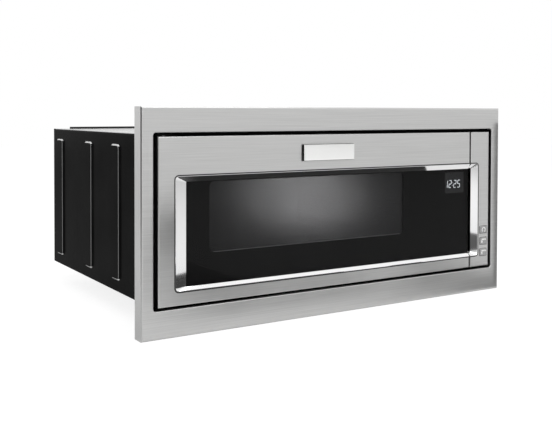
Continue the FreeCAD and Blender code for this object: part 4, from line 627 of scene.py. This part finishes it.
def dress_nodes():
    """Give each CAD node its slot's finish, or its own."""
    for subpart in frame["record"]["subparts"]:
        node = NODES[subpart["node"]]
        finish = OWN_FINISHES.get(subpart["node"], FINISHES[subpart["material_slot"]])
        if not node.material_slots:
            node.data.materials.append(finish)
        for slot in node.material_slots:
            slot.material = finish


dress_nodes()


# print, paint, a painted highlight and clock on the door glass

GLASS_LOW, GLASS_HIGH = node_box("door_glass")
GLASS_SKIN = 0.05
PRINT_THICK = 0.2
PRINT_BACK = GLASS_HIGH.y - GLASS_SKIN
PRINT_FRONT = PRINT_BACK - PRINT_THICK
PRINT_MARGIN = 0.3
PRINT_CORNER = 1.0
WINDOW = {"left": -260.0, "right": 140.0, "low": -52.5, "high": 60.0}
WINDOW_CORNER = 8.0
CLOCK_PANE = {"left": 242.5, "right": 291.0, "low": 16.0, "high": 55.5}
# a grey line along the window's lower edge, a painted highlight
EDGE_HIGHLIGHT_INSET = 7.5
EDGE_HIGHLIGHT_LOW = 0.1
EDGE_HIGHLIGHT_HIGH = 0.8
EDGE_HIGHLIGHT_CORNER = 0.32
EDGE_HIGHLIGHT_STEPS = 2
EDGE_PAINT = 0.3
EDGE_PAINT_GAP = 0.02
EDGE_PAINT_ROUND = 0.05
FILM_LAP = 0.5
FILM_THICK = 0.04
FILM_CORNER = 1.5


def printed_border():
    """Black print on the back of the glass, open at the oven window and at the clock."""
    border = cut_sheet(
        "printed_border", PRINT_FRONT, PRINT_BACK,
        rounded_loop(GLASS_LOW.x + PRINT_MARGIN, GLASS_HIGH.x - PRINT_MARGIN,
                     GLASS_LOW.z + PRINT_MARGIN, GLASS_HIGH.z - PRINT_MARGIN, PRINT_CORNER),
        rounded_loop(**WINDOW, corner=WINDOW_CORNER),
        rounded_loop(**CLOCK_PANE, corner=PRINT_CORNER),
    )
    fit_out(border, "door", "black_glass", GLASS_PRINT)


def window_edge_highlight():
    """Fine grey line along the window's lower edge, in the print layer: a painted highlight along that
    edge.
    """
    line = cut_sheet(
        "window_edge_highlight", PRINT_FRONT, PRINT_BACK,
        rounded_loop(WINDOW["left"] + EDGE_HIGHLIGHT_INSET, WINDOW["right"] - EDGE_HIGHLIGHT_INSET,
                     WINDOW["low"] + EDGE_HIGHLIGHT_LOW, WINDOW["low"] + EDGE_HIGHLIGHT_HIGH,
                     EDGE_HIGHLIGHT_CORNER, EDGE_HIGHLIGHT_STEPS),
    )
    fit_out(line, "door", "black_glass", FINISHES["grey_plastic"])


def glass_edge():
    """Black paint on the glass's free edge, where the door stops beside the finger pocket."""
    side = GLASS_HIGH.x - GLASS_SKIN
    band = block("glass_edge",
                 (side - EDGE_PAINT, GLASS_LOW.y + GLASS_SKIN, GLASS_LOW.z + PRINT_MARGIN),
                 (side, PRINT_FRONT - EDGE_PAINT_GAP, GLASS_HIGH.z - PRINT_MARGIN))
    soften(band, EDGE_PAINT_ROUND)
    fit_out(band, "door", "black_glass", GLASS_PRINT)


def clock_film():
    """Smoked film on the clock module's face, a shade paler than the print around it."""
    face = node_box("display_module")[0].y
    film = block("clock_film",
                 (CLOCK_PANE["left"] - FILM_LAP, face - FILM_THICK / 2, CLOCK_PANE["low"] - FILM_LAP),
                 (CLOCK_PANE["right"] + FILM_LAP, face + FILM_THICK / 2, CLOCK_PANE["high"] + FILM_LAP))
    bevel_edges(film, runs_along_y, FILM_CORNER, CORNER_STEPS)
    fit_out(film, "door", "display", SMOKED_FILM)


CLOCK_TIME = "1225"
CLOCK_LEFT, CLOCK_RIGHT = 243.4, 280.8
CLOCK_LOW, CLOCK_HIGH = 26.5, 40.0
DIGIT_WIDE = 5.6
DIGIT_SLANT = 0.10
SEGMENT_WIDE = 1.0
SEGMENT_GAP = 0.3
SEGMENT_POINT = 0.48
SEGMENT_POINT_STEPS = 1
COLON_ROOM = 2.6
COLON_HEIGHTS = (0.32, 0.68)
COLON_SIDES = 12
LIT = {"1": "bc", "2": "abged", "5": "afgcd"}


def clock_segment(wide, tall):
    """A bar of the clock with pointed ends, its middle over the origin."""
    bar = block("segment", (-wide / 2, PRINT_FRONT, -tall / 2), (wide / 2, PRINT_BACK, tall / 2))
    bevel_edges(bar, runs_along_y, SEGMENT_POINT, SEGMENT_POINT_STEPS)
    return bar


def clock_digits():
    """Seven-segment clock numbers and their colon."""
    tall = CLOCK_HIGH - CLOCK_LOW
    pitch = (CLOCK_RIGHT - CLOCK_LEFT - DIGIT_WIDE - COLON_ROOM) / (len(CLOCK_TIME) - 1)
    level = clock_segment(DIGIT_WIDE - 2 * SEGMENT_GAP, SEGMENT_WIDE)
    upright = clock_segment(SEGMENT_WIDE, tall / 2 - SEGMENT_GAP)
    places = {
        "a": (level, DIGIT_WIDE / 2, tall),
        "g": (level, DIGIT_WIDE / 2, tall / 2),
        "d": (level, DIGIT_WIDE / 2, 0),
        "f": (upright, 0, tall * 3 / 4),
        "b": (upright, DIGIT_WIDE, tall * 3 / 4),
        "e": (upright, 0, tall / 4),
        "c": (upright, DIGIT_WIDE, tall / 4),
    }
    bars = []
    for index, digit in enumerate(CLOCK_TIME):
        left = CLOCK_LEFT + index * pitch + (COLON_ROOM if index > 1 else 0)
        for letter in LIT[digit]:
            source, x, z = places[letter]
            bars.append(copy_piece(source, f"bar_{index}_{letter}", (left + x, 0, CLOCK_LOW + z)))
    colon_x = CLOCK_LEFT + 2 * pitch - (pitch - DIGIT_WIDE - COLON_ROOM) / 2
    for height in COLON_HEIGHTS:
        centre = (colon_x, (PRINT_FRONT + PRINT_BACK) / 2, CLOCK_LOW + tall * height)
        bars.append(round_bar("colon", centre, SEGMENT_WIDE / 2, PRINT_THICK, COLON_SIDES))
    for source in (level, upright):
        bpy.data.objects.remove(source)
    digits = join(bars, "clock_digits")
    slant = Matrix.Identity(4)
    slant[0][2] = DIGIT_SLANT
    middle = Vector((0, 0, CLOCK_LOW + tall / 2)) * MM
    digits.data.transform(Matrix.Translation(middle) @ slant @ Matrix.Translation(-middle))
    fit_out(digits, "door", "display", SEGMENTS)


printed_border()
window_edge_highlight()
glass_edge()
clock_film()
clock_digits()


# bare badge on the door's head rail

BADGE_LOW, BADGE_HIGH = node_box("badge_plate")
BADGE_FACE = 1.2
BADGE_INSET = 0.5
BADGE_BORDER = 1.1
BADGE_STEP_WIDE = 0.35
BADGE_STEP_DEEP = 0.3
BACKING_ROUND = 0.6
FACE_ROUND = 0.15
FRONT_NORMAL = -0.9


def badge():
    """Satin plate with bevelled edges on a black backing, with nothing written on it."""
    seat = BADGE_LOW.y + BADGE_FACE
    backing = block("badge_backing", (BADGE_LOW.x, seat, BADGE_LOW.z), BADGE_HIGH)
    soften(backing, BACKING_ROUND)
    fit_out(backing, "door", "chrome", BADGE_SIDE, "badge_plate")
    face = block("badge_face",
                 (BADGE_LOW.x + BADGE_INSET, BADGE_LOW.y, BADGE_LOW.z + BADGE_INSET),
                 (BADGE_HIGH.x - BADGE_INSET, seat, BADGE_HIGH.z - BADGE_INSET))
    pick(face, faces=lambda centre, normal: normal.y < FRONT_NORMAL)
    bpy.ops.mesh.inset(thickness=BADGE_BORDER * MM, depth=0)
    bpy.ops.mesh.inset(thickness=BADGE_STEP_WIDE * MM, depth=-BADGE_STEP_DEEP * MM)
    done()
    soften(face, FACE_ROUND)
    fit_out(face, "door", "chrome", BADGE_SATIN)


badge()


# black strips of painted shade round the bezel and the finger pocket, and the foam behind the trim

BEZEL_LOW, BEZEL_HIGH = node_box("door_bezel")
POCKET_HIGH = node_box("finger_pocket")[1]
SKIN_LOW = node_box("column_skin")[0]
SEAM_WIDE = 2.0
SEAM_CORNER = 5.8
SEAM_PROUD = 0.06
SEAM_DEEP = 0.3
TRIM_WALL = 1.6
SEAL_ROOM = 0.3
SEAL_PROUD = 3.0
SEAL_OUTER_CORNER = 2.0
SEAL_INNER_CORNER = 1.0
SEAL_ROUND = 0.4


def shade_seam_edge(start, end, grow):
    """Points round three sides of a pressed opening, grown outwards and open towards its start."""
    low, high = BEZEL_LOW.z - grow, BEZEL_HIGH.z + grow
    side = 1 if end > start else -1
    far = end + side * grow
    loop = rounded_loop(min(start, far), max(start, far), low, high, SEAM_CORNER + grow)
    half = len(loop) // 2
    if side > 0:
        return [(start, low), *loop[:half], (start, high)]
    return [(start, high), *loop[half:], (start, low)]


def shade_seam(name, body, start, end):
    """A black strip round three sides of a pressed opening: painted shade for the shadow gap at its edge.
    """
    outline = shade_seam_edge(start, end, SEAM_WIDE) + shade_seam_edge(start, end, 0.0)[::-1]
    line = cut_sheet(name, BEZEL_LOW.y - SEAM_PROUD, BEZEL_LOW.y + SEAM_DEEP, outline)
    fit_out(line, body, "black_plastic", FINISHES["black_plastic"])


def trim_seal():
    """Closed-cell foam between the chassis flange and the trim's outer wall."""
    flange_low, flange_high = node_box("front_plate")
    trim_low, trim_high = node_box("trim_frame")
    seal = cut_sheet(
        "trim_seal", flange_low.y - SEAL_PROUD, trim_high.y - SEAL_ROOM,
        rounded_loop(trim_low.x + TRIM_WALL, trim_high.x - TRIM_WALL,
                     trim_low.z + TRIM_WALL, trim_high.z - TRIM_WALL, SEAL_OUTER_CORNER),
        rounded_loop(flange_low.x - SEAL_ROOM, flange_high.x + SEAL_ROOM,
                     flange_low.z - SEAL_ROOM, flange_high.z + SEAL_ROOM, SEAL_INNER_CORNER),
    )
    soften(seal, SEAL_ROUND)
    fit_out(seal, "chassis", "rubber", FINISHES["rubber"])


# black strips for the shade in the gaps round the bezel and the pocket
shade_seam("bezel_shade_seam", "door", BEZEL_HIGH.x, BEZEL_LOW.x)
shade_seam("pocket_shade_seam", "chassis", SKIN_LOW.x, POCKET_HIGH.x)
trim_seal()


# keys with rounded caps, and white marks on them that are painted highlights

KEYS = {"low": "key_1", "middle": "key_2", "high": "key_3"}
KEY_FLANGE = 1.5
KEY_FLANGE_FRONT = 2.8
KEY_FLANGE_THICK = 1.2
KEY_CORNER = 2.0
KEY_CROWN = 1.4
# raised white bars and a ring on the keys, painted highlights
MARK_PROUD = 0.15
LEVEL_BAR_WIDE = {"low": 12.0, "middle": 11.0}
LEVEL_BAR_TALL = 2.8
LEVEL_BAR_PLACE = (0.4, 3.0)
SIDE_BAR_SIZE = (3.2, 4.6)
SIDE_BAR_PLACE = (-4.6, -1.2)
BAR_ROUND = 0.1
RING_RADIUS = 5.2
RING_WIDE = 2.3
RING_SIDES = 32
RING_GAP_REACH = 1.0
RING_ROUND = 0.08


def key_cap(level):
    """A key with a rounded cap and the flange that keeps it behind the column's skin."""
    low, high = node_box(KEYS[level])
    inset = Vector((KEY_FLANGE, 0, KEY_FLANGE))
    cap = block(f"cap_{level}", low + inset, high - inset)
    bevel_edges(cap, runs_along_y, KEY_CORNER, CORNER_STEPS)
    bevel_edges(cap, lies_at(low.y), KEY_CROWN, CORNER_STEPS)
    front = low.y + KEY_FLANGE_FRONT
    flange = block("flange", (low.x, front, low.z), (high.x, front + KEY_FLANGE_THICK, high.z))
    combine(cap, flange, "UNION")
    shade_smooth(cap)
    fit_out(cap, f"key_{level}", "key_plastic", FINISHES["key_plastic"], KEYS[level])


def key_face(level):
    """The middle of a key's face."""
    low, high = node_box(KEYS[level])
    return Vector(((low.x + high.x) / 2, low.y, (low.z + high.z) / 2))


def highlight_bar(level, size, place):
    """A raised bar on a key's face, at a place from its middle."""
    middle = key_face(level) + Vector((place[0], 0, place[1]))
    half = Vector((size[0] / 2, MARK_PROUD, size[1] / 2))
    bar = block("bar", middle - half, middle + half)
    soften(bar, BAR_ROUND)
    return bar


def highlight_corner(level):
    """A painted highlight: a white corner of two bars, along the key's top and left."""
    bars = [highlight_bar(level, (LEVEL_BAR_WIDE[level], LEVEL_BAR_TALL), LEVEL_BAR_PLACE),
            highlight_bar(level, SIDE_BAR_SIZE, SIDE_BAR_PLACE)]
    fit_out(join(bars, f"mark_{level}"), f"key_{level}", "key_plastic", KEY_HIGHLIGHT)


def highlight_ring(level):
    """A painted highlight: a white ring, open at the bottom."""
    middle = key_face(level)
    ring = round_bar(f"mark_{level}", middle, RING_RADIUS, 2 * MARK_PROUD, RING_SIDES)
    bore = round_bar("bore", middle, RING_RADIUS - RING_WIDE, 4 * MARK_PROUD, RING_SIDES)
    combine(ring, bore, "DIFFERENCE")
    gap = block("gap", middle - Vector((RING_WIDE, RING_GAP_REACH, 2 * RING_RADIUS)),
                middle + Vector((RING_WIDE, RING_GAP_REACH, 0)))
    combine(ring, gap, "DIFFERENCE")
    soften(ring, RING_ROUND)
    fit_out(ring, f"key_{level}", "key_plastic", KEY_HIGHLIGHT)


for level in KEYS:
    key_cap(level)
highlight_corner("low")
highlight_corner("middle")
highlight_ring("high")


# cross-recess screws

SCREW_SIDES = 24
SCREW_CROWN = 1.1
SCREW_CROWN_STEPS = 3
RECESS_LONG = 3.6
RECESS_WIDE = 0.9
RECESS_DEEP = 1.3
RECESS_CLEAR = 1.0
REAR_SCREWS_FROM = 250.0


def screw_seats(node):
    """Centre and size of each screw in a node of several."""
    take(copy_node(node, "loose_screws"))
    bpy.ops.mesh.separate(type="LOOSE")
    seats = []
    for screw in bpy.context.selected_objects:
        points = [vertex.co / MM for vertex in screw.data.vertices]
        low, high = (Vector([limit(point[axis] for point in points) for axis in range(3)])
                     for limit in (min, max))
        seats.append(((low + high) / 2, high - low))
        bpy.data.objects.remove(screw)
    return seats


def cross_screws():
    """Domed screw heads with a cross recess, each where its plain head sits."""
    heads = []
    for centre, size in screw_seats("chassis_screws"):
        facing = 1 if centre.y > REAR_SCREWS_FROM else -1
        face = centre.y + facing * size.y / 2
        head = round_bar("screw_head", centre, size.x / 2, size.y, SCREW_SIDES)
        bevel_edges(head, lies_at(face), SCREW_CROWN, SCREW_CROWN_STEPS)
        near, far = sorted((face - facing * RECESS_DEEP, face + facing * RECESS_CLEAR))
        for wide, tall in ((RECESS_LONG, RECESS_WIDE), (RECESS_WIDE, RECESS_LONG)):
            recess = block("recess", (centre.x - wide / 2, near, centre.z - tall / 2),
                           (centre.x + wide / 2, far, centre.z + tall / 2))
            combine(head, recess, "DIFFERENCE")
        heads.append(head)
    screws = join(heads, "cross_screws")
    shade_smooth(screws)
    fit_out(screws, "chassis", "steel", BLACK_OXIDE, "chassis_screws")


cross_screws()


# choke tray and the perforated screen across its window

CHOKE_FRONT = node_box("door_choke")[0].y
OPENING_CLEAR = 1.0
OPENING_DEEP = 2.0
SCREEN_SET_BACK = 0.25
SCREEN_PITCH = 2.5
SCREEN_WEB = 0.8
SCREEN_SHEET = 0.5


def choke_tray():
    """The choke tray with its window cut open."""
    tray = copy_node("door_choke", "choke_tray")
    opening = block("opening", (WINDOW["left"], CHOKE_FRONT - OPENING_CLEAR, WINDOW["low"]),
                    (WINDOW["right"], CHOKE_FRONT + OPENING_DEEP, WINDOW["high"]))
    combine(tray, opening, "DIFFERENCE")
    fit_out(tray, "door", "screen_steel", FINISHES["screen_steel"], "door_choke")


def window_screen():
    """The perforated sheet across the tray's window."""
    wide = WINDOW["right"] - WINDOW["left"]
    tall = WINDOW["high"] - WINDOW["low"]
    middle = Vector((WINDOW["left"] + wide / 2, CHOKE_FRONT + SCREEN_SET_BACK, WINDOW["low"] + tall / 2))
    clear_selection()
    bpy.ops.mesh.primitive_grid_add(
        x_subdivisions=round(wide / SCREEN_PITCH), y_subdivisions=round(tall / SCREEN_PITCH), size=1,
        location=middle * MM, rotation=FACING_FRONT,
    )
    bpy.context.object.scale = (wide * MM, tall * MM, 1)
    screen = set_in_place(bpy.context.object, "window_screen")
    pick(screen, faces=every_face)
    bpy.ops.mesh.inset(thickness=SCREEN_WEB * MM, use_individual=True)
    bpy.ops.mesh.delete(type="FACE")
    done()
    apply_modifier(screen, "SOLIDIFY", thickness=SCREEN_SHEET * MM, offset=-1)
    return fit_out(screen, "door", "screen_steel", FINISHES["screen_steel"])


choke_tray()
SCREEN = window_screen()


# studio: floor, surroundings, lights, cards and camera

FLOOR_Z = cad_box[0].z
FLOOR_DROP = 0.0005
FLOOR_WIDE = 14.0
FLOOR_TONE = 0.85
FLOOR_GLOW = 1.36
GLOW_SEEN = 0.6
GLOW_MIRRORED = 0.08
SURROUNDINGS_LIGHT = 0.55
LIGHTS = {
    "key_light": {"place": (-1.6, -1.6, 1.9), "aim": (0, 0, 0), "size": (1.6, 1.6), "power": 26},
    "top_light": {"place": (0.2, -0.3, 2.2), "aim": (0, 0, 0), "size": (2.0, 1.4), "power": 18},
}
SCREEN_SHEEN = {"place": (0.71, -1.19, -0.11), "aim": (-0.08, -0.014, 0.01), "size": (0.25, 0.06),
                "power": 5.0}
OVEN_LAMP_PLACE = Vector((118, 235, 18)) * MM
OVEN_LAMP_RADIUS = 0.012
OVEN_LAMP_POWER = 0.03


def studio_floor():
    """Pale floor that carries the object's soft shadow."""
    clear_selection()
    bpy.ops.mesh.primitive_plane_add(size=FLOOR_WIDE, location=(0, 0, FLOOR_Z - FLOOR_DROP))
    floor = set_in_place(bpy.context.object, "floor")
    material = bpy.data.materials.new("pale_floor")
    material.use_nodes = True
    tree = material.node_tree
    tree.nodes.remove(tree.nodes["Principled BSDF"])
    matte = tree.nodes.new("ShaderNodeBsdfDiffuse")
    matte.inputs["Color"].default_value = (*grey(FLOOR_TONE), 1)
    glow = tree.nodes.new("ShaderNodeEmission")
    glow.inputs["Color"].default_value = (*grey(1), 1)
    glow.inputs["Strength"].default_value = FLOOR_GLOW
    seen, mirrored = sight_rays(tree)
    share = reckon(tree, "MAXIMUM", reckon(tree, "MULTIPLY", seen, GLOW_SEEN),
                   reckon(tree, "MULTIPLY", mirrored, GLOW_MIRRORED))
    mix = tree.nodes.new("ShaderNodeMixShader")
    tree.links.new(share, mix.inputs["Fac"])
    tree.links.new(matte.outputs["BSDF"], mix.inputs[1])
    tree.links.new(glow.outputs["Emission"], mix.inputs[2])
    tree.links.new(mix.outputs["Shader"], tree.nodes["Material Output"].inputs["Surface"])
    floor.data.materials.append(material)


def studio_world():
    """White surroundings to the eye and in reflections, softer as light."""
    world = bpy.data.worlds.new("studio")
    bpy.context.scene.world = world
    world.use_nodes = True
    tree = world.node_tree
    back = tree.nodes["Background"]
    back.inputs["Color"].default_value = (*grey(1), 1)
    looked_at = reckon(tree, "MAXIMUM", *sight_rays(tree))
    tree.links.new(remap(tree, looked_at, (0, 1), (SURROUNDINGS_LIGHT, 1)), back.inputs["Strength"])


def soft_box(name, place, aim, size, power):
    """A soft light with a rectangular face at a place, aimed at a point."""
    lamp = bpy.data.lights.new(name, "AREA")
    lamp.shape = "RECTANGLE"
    lamp.size, lamp.size_y = size
    lamp.energy = power
    box = bpy.data.objects.new(name, lamp)
    bpy.context.scene.collection.objects.link(box)
    box.location = place
    box.rotation_euler = (Vector(aim) - Vector(place)).to_track_quat("-Z", "Y").to_euler()
    return box


def oven_lamp():
    """The oven's own lamp, a small light beside the right wall."""
    lamp = bpy.data.lights.new("oven_lamp", "POINT")
    lamp.energy = OVEN_LAMP_POWER
    lamp.shadow_soft_size = OVEN_LAMP_RADIUS
    bulb = bpy.data.objects.new("oven_lamp", lamp)
    bpy.context.scene.collection.objects.link(bulb)
    bulb.location = OVEN_LAMP_PLACE
    bulb.visible_camera = False
    bulb.visible_transmission = False
    bulb.visible_glossy = False


def screen_sheen():
    """A soft light that only the door's screen catches, for the broad sheen behind the glass."""
    sheen = soft_box("screen_sheen", **SCREEN_SHEEN)
    caught = bpy.data.collections.new("caught_by_sheen")
    caught.objects.link(SCREEN)
    sheen.light_linking.receiver_collection = caught
    sheen.light_linking.blocker_collection = caught
    sheen.visible_camera = False


CARD_Z = FLOOR_Z + 0.002
CORNER_CARD_Z = CARD_Z + 0.001
UP = (0, 0, 1)
TO_CASE = (0.96, 0.28, 0)
TO_LEFT = (-1, 0, 0)
TO_BACK = (0, 1, 0)
CARDS = {
    "near_card": {"place": (0.07, -0.225, CARD_Z), "facing": UP, "size": (0.74, 0.21), "tone": 0.01,
                  "fade": (-0.32, -0.14)},
    "pocket_card": {"place": (-0.15, -0.455, CARD_Z), "facing": UP, "size": (0.26, 0.25), "tone": 0.05},
    "corner_card": {"place": (0.275, -0.265, CORNER_CARD_Z), "facing": UP, "size": (0.13, 0.13),
                    "tone": 0.9},
    "right_card": {"place": (0.50, -0.075, CARD_Z), "facing": UP, "size": (1.0, 0.09), "tone": 0.08,
                   "fade": (0.0, 0.5)},
    "left_card": {"place": (-1.085, -0.10, 0.2), "facing": TO_CASE, "size": (1.876, 1.6), "tone": 0.01},
    "edge_card": {"place": (0.386, -0.035, -0.014), "facing": TO_LEFT, "size": (0.018, 0.328),
                  "tone": 0.40},
    "stile_card": {"place": (-0.303, -0.08, -0.016), "facing": TO_BACK, "size": (0.062, 0.15), "tone": 0.9,
                   "cover": 0.85},
}


def mirror_card(name, place, facing, size, tone, fade=None, cover=None):
    """A card seen only in reflections.

    It may fade along X from the floor's tone to its own, or cover less above and below its middle.
    """
    clear_selection()
    bpy.ops.mesh.primitive_plane_add(size=1)
    card = bpy.context.object
    card.name = name
    turn = Vector(facing).to_track_quat("Z", "Y").to_matrix().to_4x4()
    card.data.transform(Matrix.Translation(place) @ turn @ Matrix.Diagonal((*size, 1, 1)))
    finish = Finish(name, {"Base Color": (*grey(tone), 1), "Roughness": 1.0})
    tree = finish.tree
    if fade:
        shade = remap(tree, axes_on_piece(tree)["X"], fade, (FLOOR_TONE, tone), "SMOOTHSTEP")
        finish.wire("Base Color", shade)
    if cover:
        height = reckon(tree, "ABSOLUTE", reckon(tree, "SUBTRACT", axes_on_piece(tree)["Z"], place[2]))
        finish.wire("Alpha", remap(tree, height, (0, size[1] / 2), (cover, 0), "SMOOTHSTEP"))
    card.data.materials.append(finish.material)
    card.visible_camera = False
    card.visible_diffuse = False
    card.visible_transmission = False
    card.visible_shadow = False


CAMERA_PLACE = Vector((-872.9, -1194.63, 170.61)) * MM
CAMERA_YAW = math.radians(32.06)
CAMERA_PITCH = math.radians(1.34)
CAMERA_ROLL = math.radians(0.15)
LENS = 54.72
SENSOR_WIDE = 36.0
SHIFT_DOWN = -0.1682
SEEN_FROM = 0.01


def photo_camera():
    """The camera at the photograph's place."""
    camera = bpy.data.objects.new("camera", bpy.data.cameras.new("camera"))
    bpy.context.scene.collection.objects.link(camera)
    camera.data.lens = LENS
    camera.data.sensor_width = SENSOR_WIDE
    camera.data.shift_y = SHIFT_DOWN
    camera.data.clip_start = SEEN_FROM
    turn = (Matrix.Rotation(-CAMERA_YAW, 4, "Z") @ Matrix.Rotation(math.pi / 2 - CAMERA_PITCH, 4, "X")
            @ Matrix.Rotation(CAMERA_ROLL, 4, "Z"))
    camera.matrix_world = Matrix.Translation(CAMERA_PLACE) @ turn
    bpy.context.scene.camera = camera


studio_floor()
studio_world()
for name, light in LIGHTS.items():
    soft_box(name, **light)
oven_lamp()
screen_sheen()
for name, card in CARDS.items():
    mirror_card(name, **card)
photo_camera()
bpy.context.scene.view_settings.view_transform = "Standard"
